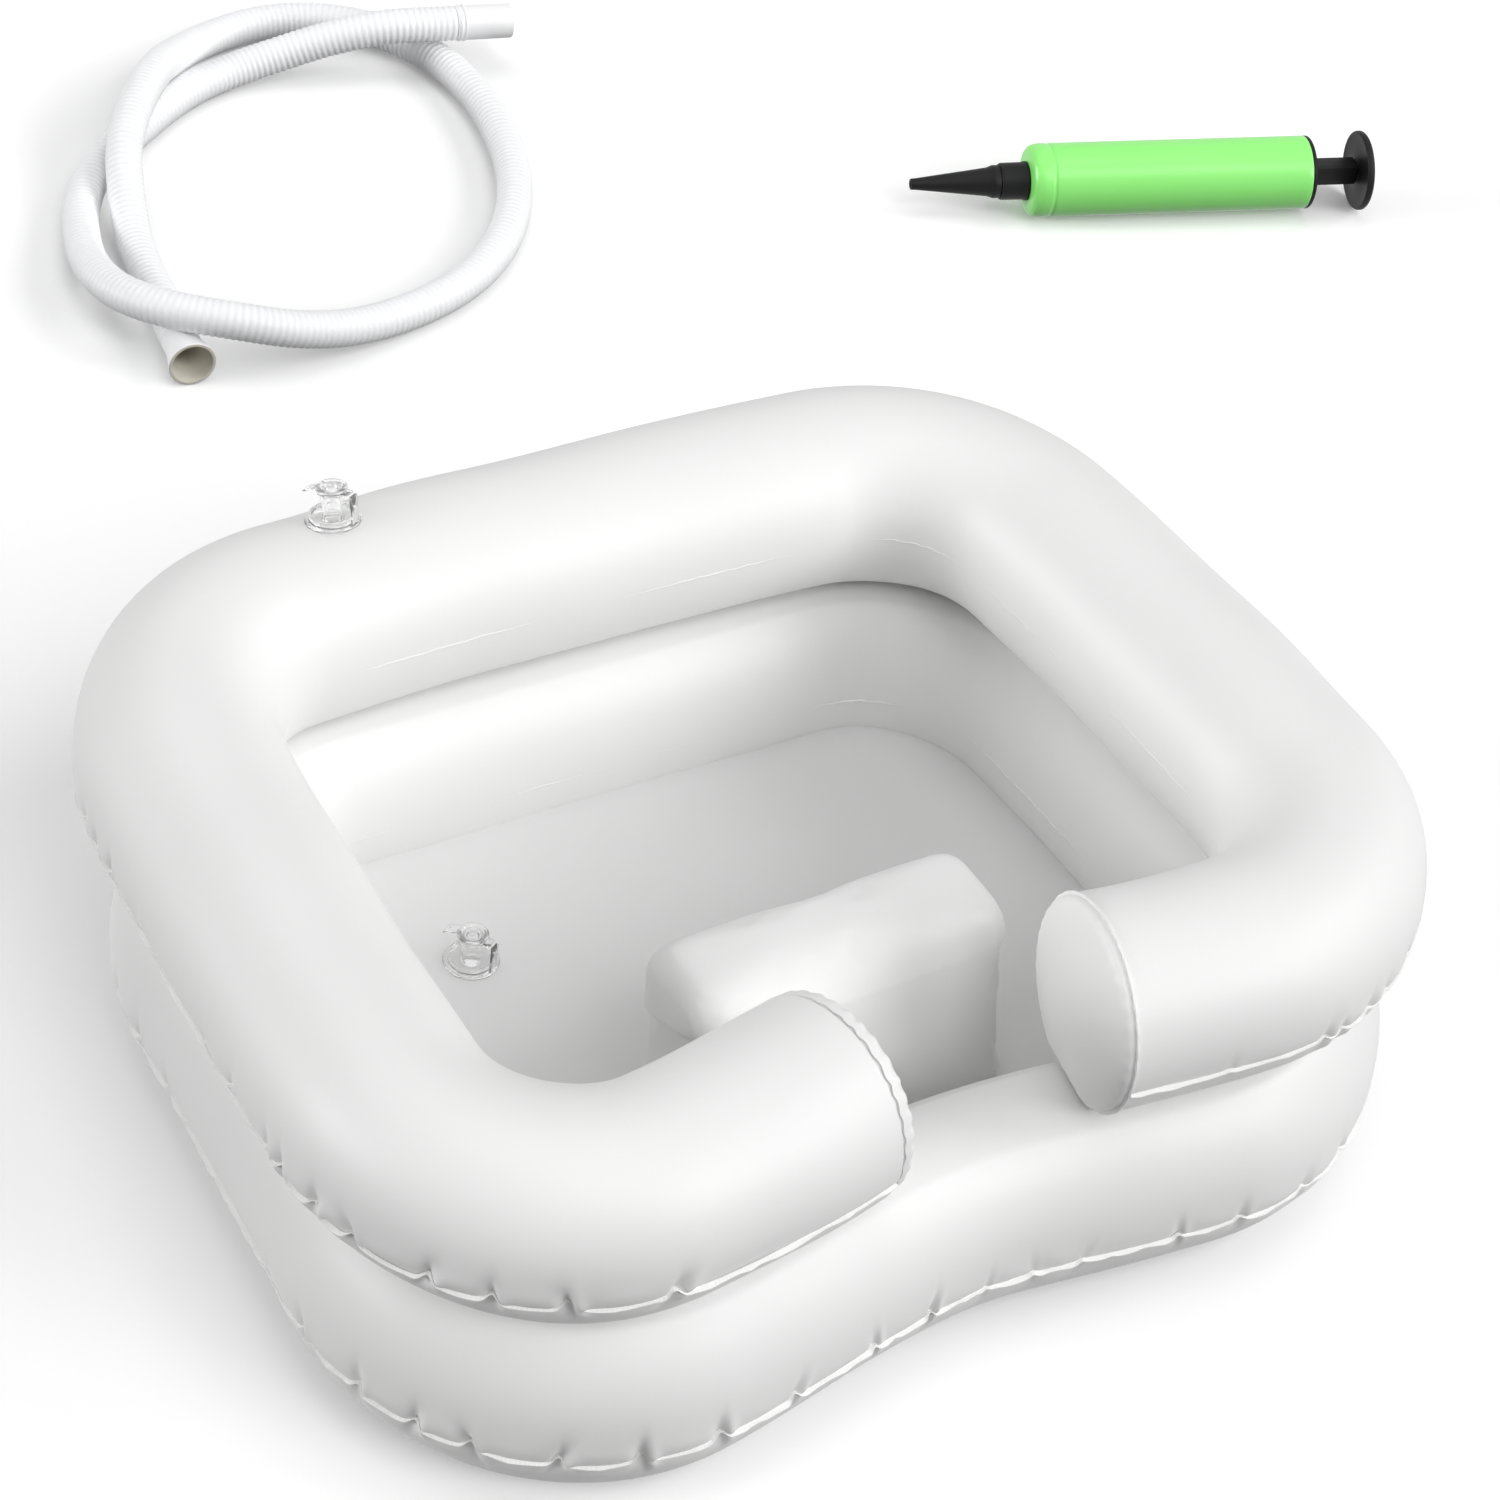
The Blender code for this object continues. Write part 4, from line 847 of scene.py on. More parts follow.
def addTube(tube, replaced):
    swept = sweepTube(tube)
    piece = gridPiece(tube["name"] + "AirTube", swept["points"], closedAlong=tube["closed"])
    closeAndTurnOut(piece, sharp=75)
    dress(piece, "basin", replaced, film)
    return swept


upperSwept = addTube(upperTube, ["upper_ring"])
lowerSwept = addTube(lowerTube, ["lower_ring"])
print("air tubes made:", upperSwept["points"].shape, lowerSwept["points"].shape)


# Welded edges of the tubes: thin ribbons that stand out along the seams

ribbonPlan = {
    "outerWidth": 0.0017,
    "innerWidth": 0.0002,
    "thickness": 0.0005,
    "buried": 0.0010,          # how deep its root is in the tube
    "droop": radians(8),
    "tip": 0.0010,             # how far the free edge turns up at a pleat
    "tipWidth": 0.0022,
    "sink": 0.0024,            # how much deeper its root is there
    "wobbleStep": 0.006,       # the free edge wavers
    "widthWobble": 0.4,
    "droopWobble": radians(7),
    "innerLift": 0.0008,
    "endFade": 0.01,           # but not where a closed tube's ends meet
}


def addRibbon(name, swept, side, replaced):      # side 1 is the outer seam, -1 the inner
    tube, plan, outer = swept["tube"], ribbonPlan, side > 0
    where, centres, normals = swept["where"], swept["centres"], swept["normals"]
    halfWidth, halfHeight = tube["tube"]
    turn = ringPlan["outerSeam" if outer else "innerSeam"]
    chance = np.random.default_rng(tube["seed"] + (3 if outer else 4))
    knots = np.arange(0, swept["length"] + 2 * plan["wobbleStep"], plan["wobbleStep"])
    wobble = np.interp(where, knots, chance.uniform(-1, 1, len(knots)))
    if tube["closed"]:
        wobble *= np.clip(np.minimum(where, swept["length"] - where) / plan["endFade"], 0, 1)
    lift = swept["lift"] if outer else plan["innerLift"] * wobble
    atPleats = np.zeros(len(where))
    if outer:
        for place, strength in swept["pleats"]:
            apart = awayFrom(where, place, swept["length"], tube["closed"])
            atPleats += strength * np.exp(-(apart / plan["tipWidth"]) ** 2)
    curl, sink = plan["tip"] * atPleats, plan["sink"] * atPleats
    root = halfWidth * abs(cos(turn)) - plan["buried"] - sink
    rootZ = tube["level"] + halfHeight * sin(turn) + lift
    width = plan["outerWidth" if outer else "innerWidth"] * (1 + plan["widthWobble"] * wobble) + plan["buried"]
    droop = plan["droop"] + plan["droopWobble"] * wobble
    corners = []
    for reach, thick in ((0, -0.5), (1, -0.5), (1, 0.5), (0, 0.5)):
        u = root + width * reach * np.cos(droop)
        z = rootZ - width * reach * np.sin(droop) + curl * reach + thick * plan["thickness"]
        flat = centres + normals * (side * u)[:, None]
        corners.append(np.column_stack([flat, z]))
    points = np.stack(corners, axis=1) + basinMiddle
    piece = gridPiece(name, points, closedAlong=tube["closed"])
    closeAndTurnOut(piece, sharp=50)
    layAlong(piece, points, where)
    dress(piece, "basin", replaced, weld if outer else film)


def layAlong(piece, points, where):      # a UV map in metres along and across the seam
    table = {}
    for row, distance in zip(points, where):
        for k, corner in enumerate(row):
            table[tuple(np.round(corner, 6))] = (distance, 0.001 * k)
    uv = piece.data.uv_layers.new(name="alongSeam")
    for loop in piece.data.loops:
        spot = piece.data.vertices[loop.vertex_index].co
        uv.data[loop.index].uv = table.get(tuple(np.round(np.array(spot), 6)), (0.0, 0.0))


addRibbon("upperOuterWeld", upperSwept, 1, ["upper_outer_seam"])
addRibbon("upperInnerWeld", upperSwept, -1, ["upper_inner_seam"])
addRibbon("lowerOuterWeld", lowerSwept, 1, ["lower_outer_seam"])
addRibbon("lowerInnerWeld", lowerSwept, -1, ["lower_inner_seam"])
print("welds made")


# End panels of the upper tube: domed discs behind a narrow welded rim

endPlan = {
    "dome": {"right": 0.0100, "left": 0.0135},
    "roundness": {"right": 0.62, "left": 0.48},       # the smaller, the steeper the dome rises from its rim
    "rim": {"right": 0.0014, "left": -0.0022},        # the left weld lies in a groove
    "gap": 0.0003,
    "thickness": {"right": 0.0010, "left": 0.0018},
    "inset": 0.0004,           # of the dome's foot, inside the rim
    "layers": 30,
    "around": 260,
    "puckers": 34,
    "puckerDepth": {"right": 0.0004, "left": 0.0010},
    "puckerReach": 0.05,       # share of the radius
}


def addEndPanel(name, side, swept, end, inner, replaced, seed):
    plan, tube = endPlan, swept["tube"]
    rim, pucker, thickness = plan["rim"][side], plan["puckerDepth"][side], plan["thickness"][side]
    dome, roundness = plan["dome"][side], plan["roundness"][side]
    centre, normal = swept["centres"][end], swept["normals"][end]
    away = centre - swept["centres"][inner]
    away = away - normal * (away @ normal)
    away /= np.linalg.norm(away)
    halfWidth, halfHeight = tube["tube"]
    low = ringPlan["contact"] + ringPlan["gap"] / 2
    turns = np.linspace(-pi, pi, plan["around"], endpoint=False)
    u, v = halfWidth * np.cos(turns), np.maximum(halfHeight * np.sin(turns), low - tube["level"])
    size = np.hypot(u, v)
    chance = np.random.default_rng(seed)
    phase = np.cumsum(chance.uniform(0.5, 1.5, plan["around"]))
    phase *= 2 * pi * plan["puckers"] / phase[-1]
    ripple = np.sin(phase)
    face = plan["gap"] + thickness
    rows = []

    def addLayer(share, grown, out):
        reach = share + grown / size
        flat = centre + normal * (u * reach)[:, None] + away * (out + np.zeros(len(u)))[:, None]
        rows.append(np.column_stack([flat, tube["level"] + np.maximum(v * reach, low - tube["level"])]))

    wave, gap, inset = pucker * ripple, plan["gap"], plan["inset"]
    for share, grown, out in ((0.90, 0, gap), (0.95, 0, gap), (1.0, rim * 0.9, gap),
                              (1.0, rim + 0.4 * wave, gap + 0.0003), (1.0, rim + 0.4 * wave, face),
                              (1.0, rim * 0.5, face + 0.5 * wave), (1.0, -inset, face + 0.5 * wave)):
        addLayer(share, grown, out)
    for turn in np.linspace(0.06, pi / 2 * 0.985, plan["layers"]):
        share = cos(turn)
        depth = pucker * np.exp(-((1 - share) / plan["puckerReach"]) ** 2)
        addLayer(share, -inset, face + dome * sin(turn) ** roundness + depth * ripple)
    piece = gridPiece(name, np.array(rows) + basinMiddle)
    closeAndTurnOut(piece, sharp=60)
    dress(piece, "basin", replaced, film)


addEndPanel("rightEndPanel", "right", upperSwept, 0, 3, ["arm_end_right"], 21)
addEndPanel("leftEndPanel", "left", upperSwept, -1, -4, ["arm_end_left"], 22)
print("end panels made")


# Floor membrane, from the drain's hole out to the lower tube

floorPlan = {
    "top": 0.0450,
    "thickness": 0.0005,
    "hole": 0.0042,
    "rings": 60,
    "crowding": 1.3,           # above 1, the rings are closer at the drain
    "around": 200,
    "wave": 0.0003,
    "ripples": (48, 39, 83),   # waves across, along and fine ones along, in radians per metre
    "tuck": 0.0008,            # how far its edge is buried in the tube
}


def addFloor(plan):
    outline = tubeOutline(lowerTube)
    length = np.linalg.norm(np.diff(outline, axis=0), axis=1).sum()
    where = np.linspace(0, length, plan["around"], endpoint=False)
    centres, normals = pathAt(outline, where, True)
    halfWidth, halfHeight = lowerTube["tube"]
    inset = halfWidth * sqrt(1 - ((lowerTube["level"] - plan["top"]) / halfHeight) ** 2) - plan["tuck"]
    rim = centres - normals * inset
    middle = np.array(drainPlace)
    ways = rim - middle
    unit = ways / np.linalg.norm(ways, axis=1)[:, None]
    wide, long, fine = plan["ripples"]
    rows = []
    for share in np.linspace(0, 1, plan["rings"]) ** plan["crowding"]:
        flat = middle + unit * plan["hole"] * (1 - share) + ways * share
        x, y = flat.T
        swell = plan["wave"] * (np.sin(x * wide + 1) * np.cos(y * long) + np.sin(y * fine))
        swell *= np.clip(min(share, 1 - share) * 8, 0, 1)
        rows.append(np.column_stack([flat, plan["top"] + swell]))
    under = [row - [0, 0, plan["thickness"]] for row in rows[::-1]]
    points = np.array(rows + under) + basinMiddle
    piece = gridPiece("floorMembrane", points, closedAlong=True)
    closeAndTurnOut(piece, sharp=50)
    x, y = rim.T
    area = abs(np.sum(x * np.roll(y, -1) - y * np.roll(x, -1))) / 2
    dress(piece, "basin", ["basin_floor"], floorFilm)
    return area


print(f"floor made: {addFloor(floorPlan):.4f} square metres")


# Neck pillow: a block with a sloping front, blown up, then its puffed cover pressed over the end panels

pillowPlan = {
    "middle": 0.0050,
    "halfWidth": 0.1000,
    "bottom": (-0.1400, -0.0560),            # front and back edge, from the basin's middle
    "top": (-0.1190, -0.0500),
    "height": 0.1120,
    "clear": 0.0003,
    "corner": 0.015,           # radius of its upright edges at the back
    "frontCorner": 0.020,
    "crown": 0.045,            # how much higher its middle is, as a share
    "edge": 0.019,             # and of the edges of its top
    "frontSwell": 0.010,
    "shrink": 0.0012,          # left for the air to fill
    "voxel": 0.0050,
    "cloth": {"quality": 6, "mass": 0.3, "tension_stiffness": 25, "compression_stiffness": 25,
              "bending_stiffness": 1.5, "use_pressure": True, "uniform_pressure_force": 4.0},
    "frames": 20,
    "most": 0.006,             # a point moves no further than this
    "grip": 0.012,             # the lowest stretch is welded to the floor
    "coverBack": 0.114,        # level of the cover's edge at the back of the end panels
    "coverFront": 0.147,
    "step": 0.0035,            # the end panels lie this much deeper
    "frontStep": 0.0003,
    "stepFade": 0.005,         # the step is this high, and fades out this far above the floor
    "footFade": 0.02,
    "facing": (0.3, 0.5),      # where a normal starts to count as sideways, and how soon it does in full
    "loopStep": 0.0045,
    "loopPoints": 120,
}


def pillowLoop(plan, share, inset):
    middle, half = plan["middle"], plan["halfWidth"] - inset
    front, back = (low + (high - low) * share for low, high in zip(plan["bottom"], plan["top"]))
    front, back = front + inset, back - inset
    spots = []
    for x, y, start in ((1, 1, 0), (-1, 1, 90), (-1, -1, 180), (1, -1, 270)):
        corner = plan["corner"] if y > 0 else plan["frontCorner"]
        corner = min(max(corner - inset * 0.5, 0.003), (back - front) / 2.2)
        cornerX = middle + x * (half - corner)
        cornerY = (back if y > 0 else front) - y * corner
        for turn in np.radians(np.linspace(start, start + 90, 9)):
            spots.append((cornerX + corner * cos(turn), cornerY + corner * sin(turn)))
    spots = np.array(spots + spots[:1])
    spots = evenly(spots, plan["loopStep"])
    return spots[np.linspace(0, len(spots) - 1, plan["loopPoints"] + 1).round().astype(int)[:-1]]


def pillowBlock(plan):
    base, top = floorPlan["top"] + plan["clear"], plan["height"] - plan["shrink"]
    halfWay = sum(plan["bottom"]) / 2
    rows = []

    def addLayer(share, inset, swell):
        loop = pillowLoop(plan, share, inset)
        across = np.clip(1 - ((loop[:, 0] - plan["middle"]) / plan["halfWidth"]) ** 2, 0, 1)
        loop[:, 1] -= (loop[:, 1] < halfWay) * plan["frontSwell"] * across * swell
        crowned = 1 + plan["crown"] * share ** 2 * across
        rows.append(np.column_stack([loop, base + top * share * crowned]))

    for share in np.linspace(0, 1 - plan["edge"] / top, 22):
        addLayer(share, plan["shrink"], sin(pi * share))
    for turn in np.linspace(0, pi / 2, 8)[1:]:
        share = 1 - plan["edge"] * (1 - sin(turn)) / top
        addLayer(share, plan["shrink"] + plan["edge"] * (1 - cos(turn)), 0)
    piece = gridPiece("neckPillow", np.array(rows) + basinMiddle)
    closeAndTurnOut(piece)
    return piece


def smoothStep(value):
    value = np.clip(value, 0, 1)
    return value * value * (3 - 2 * value)


def blowUp(piece, plan):
    applyModifier(piece, "REMESH", mode="VOXEL", voxel_size=plan["voxel"])
    before = np.array([v.co[:] for v in piece.data.vertices])
    held = piece.vertex_groups.new(name="held")
    low = np.flatnonzero(before[:, 2] < floorPlan["top"] + plan["grip"])
    held.add([int(i) for i in low], 1.0, "REPLACE")
    cloth = piece.modifiers.new("blownUp", "CLOTH")
    for name, value in plan["cloth"].items():
        setattr(cloth.settings, name, value)
    cloth.settings.vertex_group_mass = "held"
    cloth.settings.effector_weights.gravity = 0
    cloth.point_cache.frame_start, cloth.point_cache.frame_end = 1, plan["frames"]
    for number in range(1, plan["frames"] + 1):
        bpy.context.scene.frame_set(number)
    bpy.ops.object.modifier_apply(modifier=cloth.name)
    bpy.context.scene.frame_set(1)
    piece.vertex_groups.clear()
    after = np.array([v.co[:] for v in piece.data.vertices])
    moved = after - before
    far = np.linalg.norm(moved, axis=1)
    moved *= np.minimum(1, plan["most"] / np.maximum(far, 1e-9))[:, None]
    piece.data.vertices.foreach_set("co", (before + moved).ravel())
    applyModifier(piece, "SUBSURF", levels=2, render_levels=2)
    return far.max()


def pressCover(piece, plan):      # the end panels and the front lie a little deeper than the cover's edge
    points = np.array([v.co[:] for v in piece.data.vertices])
    normals = np.array([v.normal[:] for v in piece.data.vertices])
    local = points - basinMiddle
    front, back = plan["bottom"]
    share = np.clip((back - local[:, 1]) / (back - front), 0, 1)
    line = plan["coverBack"] + (plan["coverFront"] - plan["coverBack"]) * share
    below = smoothStep((line - local[:, 2]) / plan["stepFade"])
    foot = smoothStep((local[:, 2] - floorPlan["top"]) / plan["footFade"])
    start, reach = plan["facing"]
    sideways, frontal = (smoothStep((n - start) / reach) for n in (np.abs(normals[:, 0]), -normals[:, 1]))
    deep = below * foot * (plan["step"] * sideways + plan["frontStep"] * frontal)
    points -= normals * deep[:, None]
    points[:, 2] = np.maximum(points[:, 2], floorPlan["top"] + plan["clear"])
    piece.data.vertices.foreach_set("co", points.ravel())
    piece.data.update()


def addPillow(plan):
    piece = pillowBlock(plan)
    far = blowUp(piece, plan)
    pressCover(piece, plan)
    closeAndTurnOut(piece, weldWithin=1e-5, sharp=70)
    dress(piece, "basin", ["headrest"], film)
    print(f"pillow blown up by {far * 1000:.1f} mm at most")


addPillow(pillowPlan)


# Valves: a moulded cup and stem on a flange, and a stopper that swings on its strap

valvePlan = {
    "bore": 0.0042,
    "flange": (0.0160, 0.0012),
    "cup": (0.0132, 0.0013, 0.0050),         # radius, wall, top of the wall
    "stem": (0.0052, 0.0080, 0.0185),        # radius at the foot, at the top, height
    "pivot": 0.0126,
    "hingeLevel": 0.01975,
    "strap": 0.0060,
    "leg": (0.00095, 0.0014),                # behind the strap's bending line, and how thick
    "cap": (0.0090, 0.0026),
    "plug": (0.0038, 0.0030, 0.0038),        # radius at the top, at the tip, length
    "tabRoot": 0.0020,         # inside the cap's rim
    "tabReach": 0.0185,
    "tabHole": (0.0014, 0.0032),             # radius, distance from the tab's end
    "tabDroop": 27,            # degrees that the pull tab hangs down beside the cap
    "gap": 0.0003,
    "airTilt": 10.6,           # degrees that the air valve leans back with the tube
}


def addBlock(name, low, high):
    deselectAll()
    middle = [(a + b) / 2 for a, b in zip(low, high)]
    bpy.ops.mesh.primitive_cube_add(size=1, location=middle)
    block = bpy.context.object
    block.name = block.data.name = name
    bpy.ops.object.mode_set(mode="EDIT")
    bpy.ops.mesh.select_all(action="SELECT")
    bpy.ops.transform.resize(value=[b - a for a, b in zip(low, high)], center_override=middle)
    bpy.ops.object.mode_set(mode="OBJECT")
    return placeMesh(block, block.matrix_world.copy())


def unite(piece, other, operation="UNION"):
    applyModifier(piece, "BOOLEAN", operation=operation, solver="EXACT", object=other)
    bpy.data.objects.remove(other)
    return piece


def makeValveBody(plan):
    flangeR, flangeT = plan["flange"]
    cupR, wall, cupTop = plan["cup"]
    footR, topR, top = plan["stem"]
    bore = plan["bore"]
    profile = [(bore, 0), (flangeR - 0.0003, 0), (flangeR, flangeT * 0.5), (flangeR - 0.0006, flangeT),
               (cupR + 0.0006, flangeT), (cupR, flangeT + 0.0006), (cupR, cupTop), (cupR - wall, cupTop),
               (cupR - wall, flangeT + 0.0004), (footR + 0.0012, flangeT), (footR, flangeT + 0.0015),
               (footR + 0.0002, top * 0.40), (footR + 0.0008, top * 0.52), (topR - 0.0012, top * 0.72),
               (topR - 0.0003, top * 0.86), (topR, top * 0.93), (topR, top), (bore, top), (bore, 0)]
    body = turnedPiece("valveBody", profile, 64, 0.0003)
    behind, thick = plan["leg"]
    legFace = -plan["pivot"] - behind
    leg = addBlock("valveLeg", (legFace - thick, -plan["strap"] / 2, flangeT / 2),
                   (legFace, plan["strap"] / 2, plan["hingeLevel"] - plan["gap"]))
    softenEdges(leg, 0.0004)
    return unite(body, leg)


def makeStopper(plan):      # its own origin on the strap's bending line
    capR, capT = plan["cap"]
    plugTop, plugTip, plugLength = plan["plug"]
    under = -capT / 4
    top = under + capT
    profile = [(0, under - plugLength), (plugTip, under - plugLength), (plugTop, under - 0.0004),
               (plugTop, under), (capR - 0.0004, under), (capR, under + 0.0005), (capR, top - 0.0008),
               (capR * 0.88, top), (capR * 0.70, top), (capR * 0.62, top - 0.0009),
               (capR * 0.25, top - 0.0009), (capR * 0.20, top - 0.0003), (0, top - 0.0003)]
    cap = placeMesh(spinProfile("stopperCap", profile, 56), Matrix.Translation((plan["pivot"], 0, 0)))
    softenEdges(cap, 0.0002)
    strap = addBlock("stopperStrap", (plan["gap"], -plan["strap"] / 2, -0.0004),
                     (plan["pivot"] - capR / 2, plan["strap"] / 2, 0.0007))
    softenEdges(strap, 0.0003)
    root = plan["pivot"] + capR - plan["tabRoot"]
    length = plan["pivot"] + plan["tabReach"] - root
    tab = addBlock("stopperTab", (0, -plan["strap"] * 0.6, -0.0004), (length, plan["strap"] * 0.6, 0.0008))
    softenEdges(tab, 0.0003)
    holeR, fromEnd = plan["tabHole"]
    hole = spinProfile("tabHole", [(0, -0.003), (holeR, -0.003), (holeR, 0.003), (0, 0.003)], 20)
    unite(tab, placeMesh(hole, Matrix.Translation((length - fromEnd, 0, 0))), "DIFFERENCE")
    placeMesh(tab, Matrix.Translation((root, 0, 0)) @ Matrix.Rotation(radians(plan["tabDroop"]), 4, "Y"))
    stopper = unite(unite(cap, strap), tab)
    makeActive(stopper)
    smoothFaces()
    return stopper


def valvePlace(joint, up):
    across = -Vector(joints[joint]["axis"]).normalized()
    along = across.cross(up).normalized()
    upright = along.cross(across)
    hinge = Vector(joints[joint]["pos_m"])
    seat = hinge + along * valvePlan["pivot"] - upright * valvePlan["hingeLevel"]
    return frameOf(seat, along, across, upright), frameOf(hinge, along, across, upright)


valveBody, stopper = makeValveBody(valvePlan), makeStopper(valvePlan)
tilt = radians(valvePlan["airTilt"])
airSeat, airHinge = valvePlace("air_stopper_hinge", Vector((0, sin(tilt), cos(tilt))))
drainSeat, drainHinge = valvePlace("drain_stopper_hinge", Vector((0, 0, 1)))
airBody = placeMesh(copyPiece(valveBody, "airValveBody"), airSeat)
airStopper = placeMesh(copyPiece(stopper, "airValveStopper"), airHinge)
drainBody = placeMesh(valveBody, drainSeat)
drainStopper = placeMesh(stopper, drainHinge)
drainBody.name, drainStopper.name = "drainValveBody", "drainValveStopper"
for piece, body, node in ((airBody, "basin", "air_valve_body"), (drainBody, "basin", "drain_valve_body"),
                          (airStopper, "air_stopper", "air_valve_stopper"),
                          (drainStopper, "drain_stopper", "drain_valve_stopper")):
    dress(piece, body, [node], clearVinyl)
print("valves made")


# Hand pump: its own Z runs from the nozzle's tip to the handle

pumpPlan = {
    "barrel": 0.0263,          # radii, and levels from the nozzle's tip
    "barrelBore": 0.0240,
    "barrelStart": 0.0857,
    "shoulderEnd": 0.0920,
    "outlet": 0.0050,
    "groove": 0.1010,
    "barrelEnd": 0.2935,
    "capEnd": 0.2966,
    "capPlug": 0.0060,
    "nozzle": (0.0040, 0.0118),
    "nozzleEnd": 0.0648,
    "nozzleBore": 0.0070,
    "chamber": 0.0100,
    "collar": 0.0134,
    "rod": 0.0071,
    "rodFin": 0.0026,
    "discs": (0.0125, 0.0011),     # their spacing and thickness
    "rodHole": 0.0077,
    "piston": (0.1200, 0.0120),
    "handle": (0.3330, 0.3395),
    "handleRadius": 0.0287,
    "gap": 0.0003,
}


def pumpPlace(plan):
    axis = Vector(joints["pump_stroke"]["axis"]).normalized()
    low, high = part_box("pump_handle")
    tip = (low + high) / 2 - axis * sum(plan["handle"]) / 2
    return alongLine(tip, axis)


def makeBarrel(plan):
    r, bore, start, end = plan["barrel"], plan["barrelBore"], plan["barrelStart"], plan["barrelEnd"]
    groove, outlet, wall = plan["groove"], plan["outlet"], plan["barrel"] - plan["barrelBore"]
    shoulder = plan["shoulderEnd"]
    profile = [(outlet, start), (0.0190, start), (0.0225, start + 0.0007), (0.0248, start + 0.0026),
               (r - 0.0002, shoulder), (r, shoulder + 0.0020), (r, groove - 0.0016),
               (r - 0.0006, groove - 0.0008), (r - 0.0006, groove + 0.0008), (r, groove + 0.0016),
               (r, end - 0.0050), (r, end), (bore, end), (bore, shoulder + wall), (outlet, shoulder + wall),
               (outlet, start)]
    return turnedPiece("pumpBarrel", profile, 72, 0.0004, angle=18)


def makeEndCap(plan):
    start, end, r = plan["barrelEnd"] + plan["gap"], plan["capEnd"], plan["barrel"]
    plug, hole, inner = plan["barrelBore"] - plan["gap"], plan["rodHole"], start - plan["capPlug"]
    profile = [(hole, inner), (plug, inner), (plug, start), (r, start), (r, end - 0.0008),
               (r - 0.0008, end), (r * 0.62, end), (r * 0.60, end - 0.0006), (hole + 0.0022, end - 0.0006),
               (hole + 0.0020, end), (hole, end), (hole, inner)]
    return turnedPiece("pumpEndCap", profile, 72, 0.0003)


def makeNozzle(plan):
    tip, foot = plan["nozzle"]
    end, bore = plan["nozzleEnd"], plan["nozzleBore"]
    profile = [(0.0022, 0), (tip - 0.0004, 0), (tip, 0.0006), (tip + 0.0002, 0.0040),
               (foot - 0.0016, end * 0.86), (foot - 0.0008, end * 0.90), (foot, end * 0.93), (foot, end),
               (bore, end), (0.0026, 0.0060), (0.0022, 0)]
    return turnedPiece("pumpNozzle", profile, 56, 0.0004, angle=12)


def makeCollar(plan):
    start, end, r = plan["nozzleEnd"] + plan["gap"], plan["barrelStart"] - plan["gap"], plan["collar"]
    bore, chamber = plan["nozzleBore"], plan["chamber"]
    profile = [(bore, start), (r - 0.0010, start), (r - 0.0002, start + 0.0012), (r, end - 0.0030),
               (r + 0.0006, end - 0.0022), (r + 0.0006, end), (chamber, end), (chamber, start + 0.0030),
               (bore, start + 0.0030), (bore, start)]
    return turnedPiece("pumpNozzleCollar", profile, 56, 0.0003, angle=12)


def makeRod(plan):      # a square core with four fins pulled out of it, and stiffening discs
    start, end = plan["piston"][0] + plan["piston"][1] + plan["gap"], plan["handle"][0] - plan["gap"]
    half = plan["rodFin"] / 2
    rod = addBlock("pumpRod", (-half, -half, start), (half, half, end))
    makeActive(rod)
    for way in (Vector((1, 0, 0)), Vector((0, 1, 0)), Vector((-1, 0, 0)), Vector((0, -1, 0))):
        bpy.ops.object.mode_set(mode="EDIT")
        bpy.ops.mesh.select_mode(type="FACE")
        bpy.ops.mesh.select_all(action="DESELECT")
        bpy.ops.object.mode_set(mode="OBJECT")
        for face in rod.data.polygons:
            face.select = face.normal.dot(way) > 0.9 and Vector(face.center).dot(way) > half * 0.9
        bpy.ops.object.mode_set(mode="EDIT")
        pull = way * (plan["rod"] - half)
        bpy.ops.mesh.extrude_region_move(TRANSFORM_OT_translate={"value": pull})
        bpy.ops.object.mode_set(mode="OBJECT")
    softenEdges(rod, 0.0003)
    pieces, r = [rod], plan["rod"] - 0.0003
    spacing, thick = plan["discs"]
    for place in np.arange(start + 0.010, end - 0.004, spacing):
        profile = [(0, place), (r, place), (r, place + thick), (0, place + thick)]
        pieces.append(turnedPiece("rodDisc", profile, 32, 0.0002, 1))
    return joinPieces("pumpRod", pieces)


def makeHandle(plan):
    start, end = plan["handle"]
    r = plan["handleRadius"]
    profile = [(0, start), (0.0085, start), (0.0092, start + 0.0006), (r * 0.62, start + 0.0014),
               (r - 0.0030, start + 0.0012), (r - 0.0010, start + 0.0008), (r, start + 0.0022),
               (r, end - 0.0018), (r - 0.0012, end - 0.0003), (r - 0.0030, end), (r - 0.0046, end - 0.0006),
               (r * 0.60, end - 0.0010), (r * 0.56, end - 0.0005), (r * 0.50, end - 0.0010),
               (r * 0.30, end - 0.0012), (0, end - 0.0010)]
    return turnedPiece("pumpHandle", profile, 72, 0.0004, angle=15)


pumpAt = pumpPlace(pumpPlan)
pumpPieces = [
    (makeBarrel, "pump", "pump_green", "pump_barrel", barrelPlastic),
    (makeEndCap, "pump", "pump_black", "pump_end_cap", blackPlastic),
    (makeNozzle, "pump", "pump_black", "pump_nozzle", blackPlastic),
    (makeCollar, "pump", "pump_black", "pump_nozzle_collar", blackPlastic),
    (makeRod, "pump_plunger", "pump_black", "pump_rod", blackPlastic),
    (makeHandle, "pump_plunger", "pump_black", "pump_handle", blackPlastic),
]
for make, body, slot, node, material in pumpPieces:
    dress(placeMesh(make(pumpPlan), pumpAt), body, [node], material)
print("pump made")


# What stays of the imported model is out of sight, and gets its material

keptNodes = {"air_valve_flap": clearVinyl, "drain_nipple": clearVinyl, "pump_outlet_flap": sealRubber,
             "pump_piston": blackPlastic, "pump_piston_seal": sealRubber}
for name, material in keptNodes.items():
    nodes[name].data.materials.clear()
    nodes[name].data.materials.append(material)


# Ground, backdrop and light

